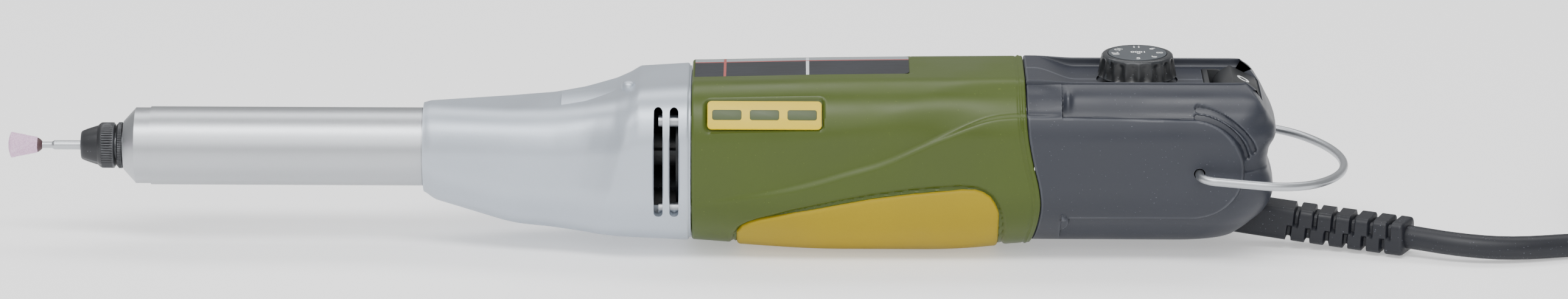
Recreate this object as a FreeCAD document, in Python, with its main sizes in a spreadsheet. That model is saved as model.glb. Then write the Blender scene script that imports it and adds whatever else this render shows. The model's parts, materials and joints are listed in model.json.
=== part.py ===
"""Long-neck straight grinder with its mounted stone, in millimetres.

The spindle axis is the X axis and the stone points along -X.  The origin is
the middle of the 20 mm clamping neck, +Z is up, and the tool lies on its belly.
Every driving size is a named cell of the Sizes sheet.
"""
import FreeCAD, Part
import math
import os
import re
import Sketcher
from FreeCAD import Placement, Rotation, Vector

doc = FreeCAD.newDocument("straight_grinder")
sheet = doc.addObject("Spreadsheet::Sheet", "Sizes")

DIMENSIONS = {
    # mounted point: stone, cement ring and shank
    "stone_tip": -71.1, "stone_tip_d": 6.5, "stone_root": -63.7, "stone_root_d": 3.9,
    "cement_d": 2.8, "cement_root": -62.7, "stem_d": 1.65, "stem_seat": 3.0,
    "stem_end": -60.0, "shank_d": 2.35, "shank_step": 0.6, "shank_end": -36.6,
    # collet and its nut
    "collet_front": -51.4, "collet_front_d": 4.0, "collet_peak": -49.6, "collet_peak_d": 5.96,
    "collet_neck": -43.0, "collet_tail_d": 4.0, "collet_tail": -38.0, "collet_bore_d": 2.4,
    "slit_width": 0.4, "slit_end": -44.0, "slit_count": 3,
    "nut_front": -52.5, "nut_front_d": 7.1, "nut_brow": -50.9, "nut_brow_d": 8.4,
    "nut_cheek": -48.5, "nut_cheek_d": 9.9, "nut_full": -47.2, "nut_d": 11.7,
    "nut_back": -43.7, "nut_groove": 0.4, "nut_groove_d": 10.6, "nut_hole_d": 3.2,
    "nut_thread_d": 7.1, "nut_shoulder": -49.3, "running_gap": 0.05,
    # spindle, its ring and its two bearings
    "spindle_front": -48.4, "spindle_nose_d": 7.0, "mouth_d": 5.7, "bore_d": 4.1,
    "bore_end": -36.0, "ring_front": -43.4, "ring_back": -41.9, "ring_d": 11.8,
    "ring_bevel": 0.5, "spindle_d": 8.0, "spindle_end": 56.0,
    "front_bearing_at": -31.4, "back_bearing_at": 37.8, "spindle_bearing_d": 16.0,
    "spindle_bearing_width": 5.0, "spindle_ball_d": 2.4,
    # neck
    "collar_d": 20.0, "neck_front": -34.6, "neck_bore_d": 16.0, "collar_end": 34.6, "neck_root_d": 19.4, "neck_tail": 48.0,
    "nose_front": -41.6, "nose_face_d": 12.6, "nose_cone": -38.5, "nose_d": 19.4,
    "nose_bore_d": 8.8, "nose_skirt": -31.6, "nose_skirt_d": 15.9,
    # coupling between the spindle and the motor
    "hub_d": 17.0, "front_hub": 50.0, "dog_front": 60.0, "back_hub": 62.0,
    "back_hub_end": 68.0, "dog_back": 58.0, "dog_width": 5.0, "dog_foot": 4.2,
    "spider_front": 56.6, "spider_back": 61.4, "spider_hub_d": 7.0, "spider_arm": 2.3,
    # head casting
    "head_front": 34.9, "head_end": 102.0, "lip_end": 103.1, "lip_step": 0.6,
    "head_bore_d": 19.5, "head_stop": 48.2, "coupling_room_d": 18.8, "room_end": 70.0,
    "fan_throat": 85.0, "fan_throat_d": 28.0, "fan_room": 91.0, "fan_room_d": 33.0,
    "slot_front": 93.8, "slot_pitch": 4.0, "slot_width": 2.3, "slot_top": 15.7,
    "slot_bottom": -12.5, "boss_at": 87.0, "boss_d": 3.2, "boss_top": 18.6,
    "head_screw_x": 16.2, "head_screw_z": 11.4, "head_screw_d": 3.0, "head_screw_head_d": 5.0,
    "head_screw_tip": 95.0, "head_screw_head": 2.0,
    # motor housing, its grip and its plates
    "housing_front": 103.3, "housing_end": 188.3, "housing_half": 23.0, "top_radius": 13.5,
    "belly_radius": 20.0, "belly": 24.8, "belly_front": 135.0, "belly_back": 170.0,
    "bulkhead_end": 112.0, "seat_front": 104.5, "seat_d": 22.0, "web_hole_d": 12.0,
    "motor_bore_d": 37.2, "vent_d": 4.0, "vent_circle": 29.5, "vent_count": 6,
    "grip_depth": 2.2, "grip_front": 114.3, "grip_back": 182.0, "plate_thickness": 0.35,
    "label_front": 103.9, "label_back": 158.4, "label_half": 8.0,
    "badge_front": 106.9, "badge_back": 136.2, "badge_top": 17.4, "badge_bottom": 11.6,
    # motor
    "shaft_d": 8.0, "shaft_front": 63.0, "shaft_end": 186.0, "motor_bearing_width": 7.0,
    "motor_bearing_d": 22.0, "motor_ball_d": 3.9, "fan_hub_d": 14.0, "fan_front": 92.5,
    "fan_disc": 99.3, "fan_end": 100.5, "fan_d": 30.0, "blade": 1.2, "blade_count": 9,
    "core_front": 122.0, "core_end": 152.0, "core_d": 22.8, "winding_reach": 6.0,
    "winding_d": 21.0, "winding_hub_d": 9.2, "rotor_slot": 1.6, "rotor_slot_depth": 2.4,
    "rotor_slot_count": 12, "commutator_front": 160.0, "commutator_end": 171.0,
    "commutator_d": 15.0, "stator_front": 120.0, "stator_end": 154.0, "stator_d": 36.8,
    "yoke_bore_d": 30.4, "pole_bore_d": 23.8, "pole_half": 8.0, "coil_gap": 0.6,
    "coil_reach": 3.0, "coil_bore_d": 24.6, "coil_d": 30.0,
    "bracket_front": 176.8, "bracket_end": 185.0, "bracket_d": 37.0,
    "brush_at": 165.5, "brush_length": 5.8, "brush_width": 4.8, "brush_foot": 7.6,
    "brush_top": 13.4, "holder_wall": 1.0, "holder_foot": 8.3, "holder_top": 17.6,
    "spring_d": 4.0, "spring_wire": 0.4,
    # rear housing
    "rear_half": 23.0, "rear_top": 21.4, "rear_bottom": 22.2, "rear_end": 251.6,
    "deck_front": 190.5, "deck_end": 235.5, "deck_half": 12.8, "deck_z": 18.6,
    "room_half": 20.4, "room_top": 16.4, "room_bottom": 19.4, "room_radius": 8.0,
    "room_back": 240.0, "tail_room_half": 18.6, "tail_room_bottom": 15.0,
    "screw_d": 3.0, "screw_head_d": 5.0, "screw_tip": 15.0, "screw_shoulder": 17.0,
    "screw_head": 2.5, "screw_play": 0.1, "boss_outer_d": 6.4,
    "bail_x": 231.5, "pivot_hole_d": 2.3,
    # speed dial
    "dial_x": 216.4, "dial_bottom": 18.9, "dial_d": 20.0, "dial_rim_d": 18.3,
    "dial_top": 24.6, "face_d": 14.7, "face_thickness": 0.3, "dial_stem_d": 6.0,
    "dial_hole_d": 6.2, "dial_stem_end": 14.6,
    # rocker switch, on the sloping rear corner
    "rocker_x": 239.6, "rocker_z": 20.4, "rocker_slope": 27.0, "rocker_length": 8.3,
    "rocker_width": 18.0, "rocker_gap": 0.35, "rocker_side": 3.0, "rocker_root": 6.5,
    "rocker_front": 2.6, "rocker_pivot_x": 3.0, "rocker_pivot_down": 6.0, "trunnion_d": 2.0,
    "trunnion_out": 0.3, "rocker_room": 4.2, "switch_wall": 0.6, "switch_floor": 8.5,
    "switch_depth": 12.0, "switch_sink": 0.6, "well_play": 0.1,
    # electronics
    "board_front": 198.0, "board_end": 229.0, "board_half": 14.0, "board_z": 5.0,
    "board_thickness": 1.6, "pot_half": 6.0, "pot_bottom": 6.8,
    "capacitor_x": 201.0, "capacitor_d": 9.0, "capacitor_half": 7.5, "capacitor_z": 0.3,
    # bail
    "bail_wire_d": 2.2, "bail_half": 29.0, "bail_inner": 17.8, "bail_bend": 4.0,
    "bail_leg": 15.1, "bail_side_radius": 19.5, "bail_tip_radius": 34.0, "bail_droop": 5.0,
    # cord boot, clamp and the mains cord
    "boot_root_x": 226.0, "boot_bend_x": 240.0, "boot_bend_z": -16.1, "boot_slope": 9.0,
    "boot_turn": 25.0, "boot_end_x": 285.6, "boot_half_height": 4.3, "boot_half_width": 4.8,
    "boot_corner": 1.6, "boot_play": 0.8, "boot_seat_z": -21.0,
    "clamp_front": 228.0, "clamp_length": 5.0, "clamp_half": 11.0, "clamp_height": 3.0,
    "clamp_screw_y": 8.4, "clamp_screw_d": 2.5, "clamp_screw_length": 9.0,
    "cord_d": 6.0, "coil_x": 380.0, "coil_y": 26.0, "coil_mid": 36.0, "coil_columns": 3,
    "coil_layers": 3, "tie_width": 9.0, "tie_thickness": 0.8,
    # two-pin mains plug
    "plug_length": 36.0, "plug_width": 35.3, "plug_thickness": 13.7, "plug_face": 26.0,
    "plug_neck": 9.0, "pin_d": 4.0, "pin_length": 19.0, "pin_pitch": 19.0, "pin_root": 6.0, "pin_root_d": 3.4,
}

FULL_TURN = 360.0
HEAD_SECTIONS = (  # station, half width, top, bottom, upper radius, lower radius
    (34.9, 11.2, 11.2, 11.2, 11.0, 11.0),
    (37.3, 11.9, 11.6, 12.8, 11.2, 11.4),
    (57.0, 16.5, 11.6, 18.3, 10.5, 13.0),
    (68.0, 18.4, 12.3, 19.8, 10.8, 15.0),
    (80.0, 20.2, 14.4, 20.9, 11.6, 16.0),
    (90.0, 22.2, 18.4, 21.6, 13.0, 17.0),
    (102.0, 22.6, 19.3, 22.3, 13.0, 18.0),
)
HOUSING_SECTIONS = (
    ("housing_front", "housing_half - 0.4", "20.3", "22.6"),
    ("belly_front", "housing_half", "21.1", "belly"),
    ("belly_back", "housing_half", "21.6", "belly"),
    ("housing_end", "housing_half", "21.8", "22.9"),
)
GRIP_EDGE = (  # upper edge of the grip pad, from its tip to its rear end
    ("grip_front", "-19.6"), ("119", "-17.2"), ("132", "-13.4"), ("146", "-9.8"),
    ("160", "-7.4"), ("172", "-6.2"), ("grip_back", "-16.6"), ("180.6", "-21.4"),
)
TAIL_PROFILE = (  # rear end seen from the side, from the top corner down to the belly
    (239.0, 24.0), (243.5, 21.2), (248.6, 15.6), (251.6, 8.0), (249.4, 1.2), (249.4, -1.6),
    (251.0, -7.0), (248.5, -13.5), (240.0, -20.6), (231.0, -22.4),
)
HOUSING_SCREWS = ((193.6, -14.6), (193.6, 11.4), (245.4, 4.0))
CORD_ROUTE = (  # from the boot's end to the coil, chosen by hand
    (297.4, -15.7, -20.4), (311.4, -16.4, -21.3), (330.3, -9.9, -21.8),
    (344.0, -8.6, -21.8), (360.0, -13.4, -21.8), (371.0, -15.6, -21.8), (380.0, -16.0, -21.8),
)
TAIL_ANGLE = 175.0  # where the last turn leaves the coil
TAIL_ROUTE = (  # from there to the plug, as steps from the coil's centre and height above its top
    (-35.9, 3.1, -3.15), (-35.6, -5.2, -2.6), (-33.8, -12.3, -0.6), (-28.2, -21.2, 3.4),
    (-21.0, -26.8, 6.6), (-13.2, -26.8, 6.85),
)


def fill_sheet():
    """Write every driving size as a text cell with its alias."""
    for row, (alias, size) in enumerate(DIMENSIONS.items(), start=1):
        sheet.set(f"A{row}", alias)
        sheet.set(f"B{row}", str(size))
        sheet.setAlias(f"B{row}", alias)
    doc.recompute()


fill_sheet()
sub_parts = []


def value(expression):
    """The number that an expression of the sheet's names gives."""
    return float(sheet.evalExpression(str(expression)))


def bound(expression):
    """The same expression as another object writes it."""
    return re.sub(r"\b([a-z_]\w*)\b", r"Sizes.\1", str(expression))


def keep(piece, label):
    """Name a finished sub-part, so that it is checked and exported."""
    piece.Label = label
    sub_parts.append(piece)
    return piece


def new_body(label):
    body = doc.addObject("PartDesign::Body", label + "_body")
    body.Label = label + "_body"
    return body


def plane(body, role):
    """One of the body's own origin planes."""
    return next(item for item in body.Origin.OriginFeatures if item.Role == role)


def new_sketch(body, role, offset="0"):
    """A sketch on an origin plane, shifted along its normal."""
    sketch = body.newObject("Sketcher::SketchObject", "sketch")
    sketch.AttachmentSupport = [(plane(body, role), "")]
    sketch.MapMode = "FlatFace"
    sketch.AttachmentOffset = Placement(Vector(0, 0, value(offset)), Rotation())
    sketch.setExpression("AttachmentOffset.Base.z", bound(offset))
    return sketch


def outline(body, role, points, offset="0"):
    """A closed polygon whose corners are held by sizes from the sheet."""
    sketch = new_sketch(body, role, offset)
    corners = [(value(u), value(v)) for u, v in points]
    count = len(corners)
    for index, (u, v) in enumerate(corners):
        after = corners[(index + 1) % count]
        sketch.addGeometry(Part.LineSegment(Vector(u, v, 0), Vector(after[0], after[1], 0)), False)
    for index in range(count):
        sketch.addConstraint(Sketcher.Constraint("Coincident", index, 2, (index + 1) % count, 1))
    for index, corner in enumerate(points):
        for kind, expression, size, axis in (
            ("DistanceX", corner[0], corners[index][0], -2),
            ("DistanceY", corner[1], corners[index][1], -1),
        ):
            if size == 0:
                sketch.addConstraint(Sketcher.Constraint("PointOnObject", index, 1, axis))
                continue
            number = sketch.addConstraint(Sketcher.Constraint(kind, -1, 1, index, 1, size))
            sketch.setExpression(f"Constraints[{number}]", bound(expression))
    return sketch


def circle(body, role, u, v, diameter, offset="0"):
    """A circle held by its centre and diameter."""
    sketch = new_sketch(body, role, offset)
    centre = Vector(value(u), value(v), 0)
    sketch.addGeometry(Part.Circle(centre, Vector(0, 0, 1), value(diameter) / 2), False)
    for kind, expression, size, axis in (
        ("DistanceX", u, centre.x, -2),
        ("DistanceY", v, centre.y, -1),
    ):
        if size == 0:
            sketch.addConstraint(Sketcher.Constraint("PointOnObject", 0, 3, axis))
            continue
        number = sketch.addConstraint(Sketcher.Constraint(kind, -1, 1, 0, 3, size))
        sketch.setExpression(f"Constraints[{number}]", bound(expression))
    number = sketch.addConstraint(Sketcher.Constraint("Diameter", 0, value(diameter)))
    sketch.setExpression(f"Constraints[{number}]", bound(diameter))
    return sketch


def section(body, station, half, top, bottom, upper_radius, lower_radius):
    """A cross-section with four rounded corners, standing across the X axis."""
    sketch = new_sketch(body, "YZ_Plane", station)
    wide, high, low = value(half), value(top), -value(bottom)
    upper, lower = value(upper_radius), value(lower_radius)
    corners = (
        (-wide + lower, low + lower, lower, 180), (wide - lower, low + lower, lower, 270),
        (wide - upper, high - upper, upper, 0), (-wide + upper, high - upper, upper, 90),
    )
    ends = []
    for u, v, radius, start in corners:
        first, last = math.radians(start), math.radians(start + 90)
        arc = Part.Circle(Vector(u, v, 0), Vector(0, 0, 1), radius)
        sketch.addGeometry(Part.ArcOfCircle(arc, first, last), False)
        ends.append([Vector(u + radius * math.cos(a), v + radius * math.sin(a), 0) for a in (first, last)])
    for index in range(4):
        sketch.addGeometry(Part.LineSegment(ends[index][1], ends[(index + 1) % 4][0]), False)
    for index in range(4):
        sketch.addConstraint(Sketcher.Constraint("Tangent", index, 2, index + 4, 1))
        sketch.addConstraint(Sketcher.Constraint("Tangent", index + 4, 2, (index + 1) % 4, 1))
    for line, kind, end, expression, size in (
        (4, "DistanceY", 1, f"-({bottom})", low), (5, "DistanceX", 1, half, wide),
        (6, "DistanceY", 1, top, high), (7, "DistanceX", 1, f"-({half})", -wide),
    ):
        number = sketch.addConstraint(Sketcher.Constraint(kind, -1, 1, line, end, size))
        sketch.setExpression(f"Constraints[{number}]", bound(expression))
    for line, kind in ((4, "Horizontal"), (5, "Vertical")):
        sketch.addConstraint(Sketcher.Constraint(kind, line))
    for arc, expression, radius in ((0, lower_radius, lower), (2, upper_radius, upper)):
        number = sketch.addConstraint(Sketcher.Constraint("Radius", arc, radius))
        sketch.setExpression(f"Constraints[{number}]", bound(expression))
    for one, other in ((0, 1), (2, 3)):
        sketch.addConstraint(Sketcher.Constraint("Equal", one, other))
    return sketch


def revolve(body, points, kind="PartDesign::Revolution", role="XY_Plane", axis="H_Axis"):
    """Turn an outline about an axis of its sketch, adding or removing material."""
    sketch = outline(body, role, points)
    feature = body.newObject(kind, "turned")
    feature.Profile = sketch
    feature.ReferenceAxis = (sketch, [axis])
    feature.Angle = FULL_TURN
    return feature


def turned(label, points):
    """A turned piece on the X axis, from (station, radius) corners."""
    body = new_body(label)
    revolve(body, points)
    return keep(body, label)


def pad(body, sketch, length, symmetric=False):
    feature = body.newObject("PartDesign::Pad", "pad")
    feature.Profile = sketch
    feature.Midplane = symmetric
    feature.setExpression("Length", bound(length))
    return feature


def cut_through(body, sketch, length, symmetric=True, backwards=False):
    """A pocket, with a check that it really removes material."""
    doc.recompute()
    before = body.Shape.Volume
    feature = body.newObject("PartDesign::Pocket", "pocket")
    feature.Profile = sketch
    feature.Midplane = symmetric
    feature.Reversed = backwards
    feature.setExpression("Length", bound(length))
    doc.recompute()
    if body.Shape.Volume >= before:
        raise ValueError(f"{body.Label}: a pocket cut nothing")
    return feature


def around(body, feature, sketch, count):
    """Repeat a feature about the X axis."""
    pattern = body.newObject("PartDesign::PolarPattern", "pattern")
    pattern.Originals = [feature]
    pattern.Axis = (sketch, ["N_Axis"])
    pattern.Angle = FULL_TURN
    pattern.setExpression("Occurrences", bound(count))
    body.Tip = pattern
    return pattern


def loft(body, sketches, kind="PartDesign::AdditiveLoft"):
    feature = body.newObject(kind, "loft")
    feature.Profile = sketches[0]
    feature.Sections = sketches[1:]
    feature.Ruled = True
    return feature


def box(name, low, high):
    """A block between two corners given as expressions."""
    block = doc.addObject("Part::Box", name)
    for side, start, end in zip(("Length", "Width", "Height"), low, high):
        block.setExpression(side, bound(f"({end}) - ({start})"))
    for side, start in zip("xyz", low):
        block.setExpression(f"Placement.Base.{side}", bound(start))
    return block


def rod(name, start, direction, diameter, length):
    """A cylinder from a start point along X, Y or Z."""
    cylinder = doc.addObject("Part::Cylinder", name)
    cylinder.Placement.Rotation = Rotation(Vector(0, 0, 1), direction)
    cylinder.setExpression("Radius", bound(f"({diameter}) / 2"))
    cylinder.setExpression("Height", bound(length))
    for side, place in zip("xyz", start):
        cylinder.setExpression(f"Placement.Base.{side}", bound(place))
    return cylinder


def combine(kind, name, base, tool):
    """Part::Cut or Part::Common of two objects."""
    result = doc.addObject(kind, name)
    result.Base = base
    result.Tool = tool
    return result


def fuse(name, pieces):
    result = doc.addObject("Part::MultiFuse", name)
    result.Shapes = pieces
    return result


def group(label, pieces):
    """Separate solids that share one name."""
    result = doc.addObject("Part::Compound", label)
    result.Links = pieces
    return keep(result, label)


ALONG_X, ALONG_Y, ALONG_Z = Vector(1, 0, 0), Vector(0, 1, 0), Vector(0, 0, 1)


def mounted_point():
    turned("grinding_stone", (
        ("stone_tip", "0"), ("stone_tip", "stone_tip_d/2"), ("stone_root", "stone_root_d/2"),
        ("stone_root", "stem_d/2"), ("stone_root - stem_seat", "stem_d/2"),
        ("stone_root - stem_seat", "0"),
    ))
    turned("stone_cement", (
        ("stone_root", "stem_d/2"), ("stone_root", "cement_d/2"),
        ("cement_root", "cement_d/2 - 0.3"), ("cement_root", "stem_d/2"),
    ))
    turned("bit_shank", (
        ("stone_root - stem_seat", "0"), ("stone_root - stem_seat", "stem_d/2"),
        ("stem_end", "stem_d/2"), ("stem_end + shank_step", "shank_d/2"),
        ("shank_end", "shank_d/2"), ("shank_end", "0"),
    ))


def collet_and_nut():
    body = new_body("collet")
    revolve(body, (
        ("collet_front", "collet_bore_d/2"), ("collet_front", "collet_front_d/2"),
        ("collet_peak", "collet_peak_d/2"), ("collet_neck", "collet_tail_d/2"),
        ("collet_tail", "collet_tail_d/2"), ("collet_tail", "collet_bore_d/2"),
    ))
    slit = outline(body, "YZ_Plane", (
        ("-slit_width/2", "0.6"), ("slit_width/2", "0.6"), ("slit_width/2", "4"), ("-slit_width/2", "4"),
    ), "collet_front")
    pocket = cut_through(body, slit, "slit_end - collet_front", symmetric=False, backwards=True)
    around(body, pocket, slit, "slit_count")
    keep(body, "collet")
    turned("collet_nut", (
        ("nut_front", "nut_hole_d/2"), ("nut_front", "nut_front_d/2"), ("nut_brow", "nut_brow_d/2"),
        ("nut_cheek", "nut_cheek_d/2"), ("nut_full", "nut_d/2"), ("nut_back - nut_groove", "nut_d/2"),
        ("nut_back", "nut_groove_d/2"), ("nut_back", "nut_thread_d/2"),
        ("nut_shoulder", "nut_thread_d/2"), ("collet_peak", "collet_peak_d/2 + running_gap"),
        ("collet_front - running_gap", "collet_front_d/2 + running_gap"),
        ("collet_front - running_gap", "nut_hole_d/2"),
    ))


def spindle_group():
    turned("spindle", (
        ("spindle_front", "mouth_d/2"), ("spindle_front", "spindle_nose_d/2"),
        ("ring_front", "spindle_nose_d/2"), ("ring_front", "spindle_d/2"),
        ("spindle_end", "spindle_d/2"), ("spindle_end", "0"), ("bore_end", "0"),
        ("bore_end", "bore_d/2"), ("collet_neck", "bore_d/2"),
    ))
    turned("spindle_ring", (
        ("ring_front", "spindle_d/2"), ("ring_front", "ring_d/2 - ring_bevel"),
        ("ring_front + ring_bevel", "ring_d/2"), ("ring_back", "ring_d/2"),
        ("ring_back", "spindle_d/2"),
    ))


def bearing(name, station, bore, outer, width, ball):
    """Two grooved races; gives the ball's centre radius and station."""
    pitch = f"({bore} + {outer})/4"
    half_gap = f"({outer} - {bore})/10"
    centre = value(f"{station} + {width}/2")
    groove = doc.addObject("Part::Torus", name + "_groove")
    groove.Placement = Placement(Vector(centre, 0, 0), Rotation(ALONG_Z, ALONG_X))
    groove.setExpression("Placement.Base.x", bound(f"{station} + {width}/2"))
    groove.setExpression("Radius1", bound(pitch))
    groove.setExpression("Radius2", bound(f"{ball}/2 + running_gap"))
    for race, inner, outside in (
        ("inner_race", f"{bore}/2", f"{pitch} - {half_gap}"),
        ("outer_race", f"{pitch} + {half_gap}", f"{outer}/2"),
    ):
        blank = new_body(f"{name}_{race}")
        revolve(blank, (
            (station, inner), (station, outside),
            (f"{station} + {width}", outside), (f"{station} + {width}", inner),
        ))
        keep(combine("Part::Cut", "race", blank, groove), f"{name}_{race}")
    balls = []
    ball_count = 7
    for number in range(ball_count):
        angle = math.radians(FULL_TURN * number / ball_count)
        sphere = doc.addObject("Part::Sphere", "ball")
        sphere.setExpression("Radius", bound(f"{ball}/2"))
        sphere.setExpression("Placement.Base.x", bound(f"{station} + {width}/2"))
        sphere.setExpression("Placement.Base.y", bound(f"({pitch}) * {math.cos(angle):.6f}"))
        sphere.setExpression("Placement.Base.z", bound(f"({pitch}) * {math.sin(angle):.6f}"))
        balls.append(sphere)
    return balls


def bearings():
    spindle_balls = []
    for name, station in (("spindle_front", "front_bearing_at"), ("spindle_back", "back_bearing_at")):
        spindle_balls += bearing(
            name, station, "spindle_d", "spindle_bearing_d", "spindle_bearing_width", "spindle_ball_d")
    group("spindle_bearing_balls", spindle_balls)
    motor_balls = []
    for name, station in (("motor_front", "seat_front"), ("motor_back", "bracket_front")):
        motor_balls += bearing(
            name, station, "shaft_d", "motor_bearing_d", "motor_bearing_width", "motor_ball_d")
    group("motor_bearing_balls", motor_balls)


def neck():
    turned("neck_tube", (
        ("neck_front", "neck_bore_d/2"), ("neck_front", "collar_d/2"),
        ("collar_end", "collar_d/2"), ("collar_end", "neck_root_d/2"),
        ("neck_tail", "neck_root_d/2"), ("neck_tail", "neck_bore_d/2"),
    ))
    turned("nose_ring", (
        ("nose_front", "nose_bore_d/2"), ("nose_front", "nose_face_d/2"), ("nose_cone", "nose_d/2"),
        ("neck_front", "nose_d/2"), ("neck_front", "nose_skirt_d/2"),
        ("nose_skirt", "nose_skirt_d/2"), ("nose_skirt", "nose_bore_d/2"),
    ))


def dog_hub(label, hub_front, hub_end, bore, tip, across):
    """One half of the claw coupling: a hub with two dogs on its face."""
    body = new_body(label)
    revolve(body, (
        (hub_front, bore), (hub_front, "hub_d/2"), (hub_end, "hub_d/2"), (hub_end, bore),
    ))
    low, high = sorted((tip, hub_front if value(tip) < value(hub_front) else hub_end), key=value)
    reach = f"({high}) - ({low})"
    if across == "z":
        corners = (("-dog_width/2", "dog_foot"), ("dog_width/2", "dog_foot"),
                   ("dog_width/2", "hub_d/2 - 0.4"), ("-dog_width/2", "hub_d/2 - 0.4"))
    else:
        corners = (("dog_foot", "-dog_width/2"), ("hub_d/2 - 0.4", "-dog_width/2"),
                   ("hub_d/2 - 0.4", "dog_width/2"), ("dog_foot", "dog_width/2"))
    sketch = outline(body, "YZ_Plane", corners, low)
    dog = pad(body, sketch, reach)
    around(body, dog, sketch, "2")
    keep(body, label)


def coupling():
    dog_hub("coupling_front", "front_hub", "spindle_end", "spindle_d/2", "dog_front", "z")
    dog_hub("coupling_back", "back_hub", "back_hub_end", "shaft_d/2", "dog_back", "y")
    body = new_body("coupling_spider")
    hub = circle(body, "YZ_Plane", "0", "0", "spider_hub_d", "spider_front")
    pad(body, hub, "spider_back - spider_front")
    lean = math.cos(math.radians(45))
    arm = outline(body, "YZ_Plane", (
        (f"-spider_arm/2 * {lean:.6f}", f"spider_arm/2 * {lean:.6f}"),
        (f"spider_arm/2 * {lean:.6f}", f"-spider_arm/2 * {lean:.6f}"),
        (f"(8.2 + spider_arm/2) * {lean:.6f}", f"(8.2 - spider_arm/2) * {lean:.6f}"),
        (f"(8.2 - spider_arm/2) * {lean:.6f}", f"(8.2 + spider_arm/2) * {lean:.6f}"),
    ), "spider_front")
    arm_pad = pad(body, arm, "spider_back - spider_front")
    around(body, arm_pad, arm, "4")
    keep(body, "coupling_spider")


def head_casting():
    body = new_body("head_casting")
    loft(body, [section(body, *[str(size) for size in row]) for row in HEAD_SECTIONS])
    lip = [
        section(body, station, "22.6 - lip_step", "19.3 - lip_step", "22.3 - lip_step", "12.5", "17.5")
        for station in ("head_end", "lip_end")
    ]
    loft(body, lip)
    boss = circle(body, "XY_Plane", "boss_at", "0", "boss_d", "14")
    pad(body, boss, "boss_top - 14")
    revolve(body, (
        ("head_front - 1", "0"), ("head_front - 1", "head_bore_d/2"), ("head_stop", "head_bore_d/2"),
        ("head_stop", "coupling_room_d/2"), ("room_end", "coupling_room_d/2"),
        ("fan_throat", "fan_throat_d/2"), ("fan_room", "fan_room_d/2"),
        ("lip_end + 1", "fan_room_d/2"), ("lip_end + 1", "0"),
    ), "PartDesign::Groove")
    for shift in ("0", "slot_pitch"):
        slot = outline(body, "XZ_Plane", (
            (f"slot_front + {shift}", "slot_bottom"), (f"slot_front + {shift} + slot_width", "slot_bottom"),
            (f"slot_front + {shift} + slot_width", "slot_top"), (f"slot_front + {shift}", "slot_top"),
        ))
        cut_through(body, slot, "60")
    screws, holes = [], []
    for across in ("-head_screw_x", "head_screw_x"):
        for up in ("-head_screw_z", "head_screw_z"):
            shank_end = "bulkhead_end - head_screw_head"
            shank = rod("shank", ("head_screw_tip", across, up), ALONG_X, "head_screw_d",
                        f"{shank_end} - head_screw_tip")
            head = rod("head", (shank_end, across, up), ALONG_X, "head_screw_head_d", "head_screw_head")
            screws.append(fuse("head_screw", [shank, head]))
            holes.append(rod("hole", ("head_screw_tip - 0.5", across, up), ALONG_X,
                             "head_screw_d + 2*screw_play", "bulkhead_end - head_screw_tip"))
            holes.append(rod("recess", (shank_end, across, up), ALONG_X,
                             "head_screw_head_d + 2*screw_play", "head_screw_head + 1"))
    group("head_screws", screws)
    drilled = fuse("head_screw_holes", holes)
    keep(combine("Part::Cut", "head", body, drilled), "head_casting")
    return drilled


def housing_form(name, grow="0"):
    """The solid outer form of the motor housing, grown or shrunk by a skin."""
    body = new_body(name)
    loft(body, [
        section(body, station, f"{half} + {grow}", f"{top} + {grow}", f"{bottom} + {grow}",
                f"top_radius + {grow}", f"belly_radius + {grow}")
        for station, half, top, bottom in HOUSING_SECTIONS
    ])
    return body


def motor_housing(head_screw_holes):
    form = housing_form("housing_form")
    inner = housing_form("housing_inner", "(-grip_depth)")
    outer = housing_form("housing_outer", "plate_thickness")
    region = new_body("grip_region")
    edge = outline(region, "XZ_Plane", GRIP_EDGE + (("180.6", "-40"), ("grip_front", "-40")))
    pad(region, edge, "60", symmetric=True)
    grip = combine("Part::Cut", "grip", combine("Part::Common", "grip_blank", form, region), inner)
    keep(grip, "grip_pad")
    cavity = new_body("housing_cavity")
    revolve(cavity, (
        ("housing_front - 1", "0"), ("housing_front - 1", "web_hole_d/2"),
        ("seat_front", "web_hole_d/2"), ("seat_front", "seat_d/2"), ("bulkhead_end", "seat_d/2"),
        ("bulkhead_end", "motor_bore_d/2"), ("housing_end + 1", "motor_bore_d/2"),
        ("housing_end + 1", "0"),
    ))
    vent = circle(cavity, "YZ_Plane", "0", "vent_circle/2", "vent_d", "housing_front - 1")
    bore = pad(cavity, vent, "bulkhead_end - housing_front + 2")
    around(cavity, bore, vent, "vent_count")
    shell = combine("Part::Cut", "shell", combine("Part::Cut", "hollow", form, cavity), grip)
    keep(combine("Part::Cut", "housing", shell, head_screw_holes), "motor_housing")
    label_zone = box("label_zone", ("label_front", "-label_half", "10"), ("label_back", "label_half", "30"))
    label = combine("Part::Common", "label_blank", outer, label_zone)
    keep(combine("Part::Cut", "label", label, form), "rating_label")
    badge_zone = box("badge_zone", ("badge_front", "-30", "badge_bottom"), ("badge_back", "0", "badge_top"))
    badge = combine("Part::Common", "badge_blank", outer, badge_zone)
    keep(combine("Part::Cut", "badge", badge, form), "badge_plate")


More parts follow.
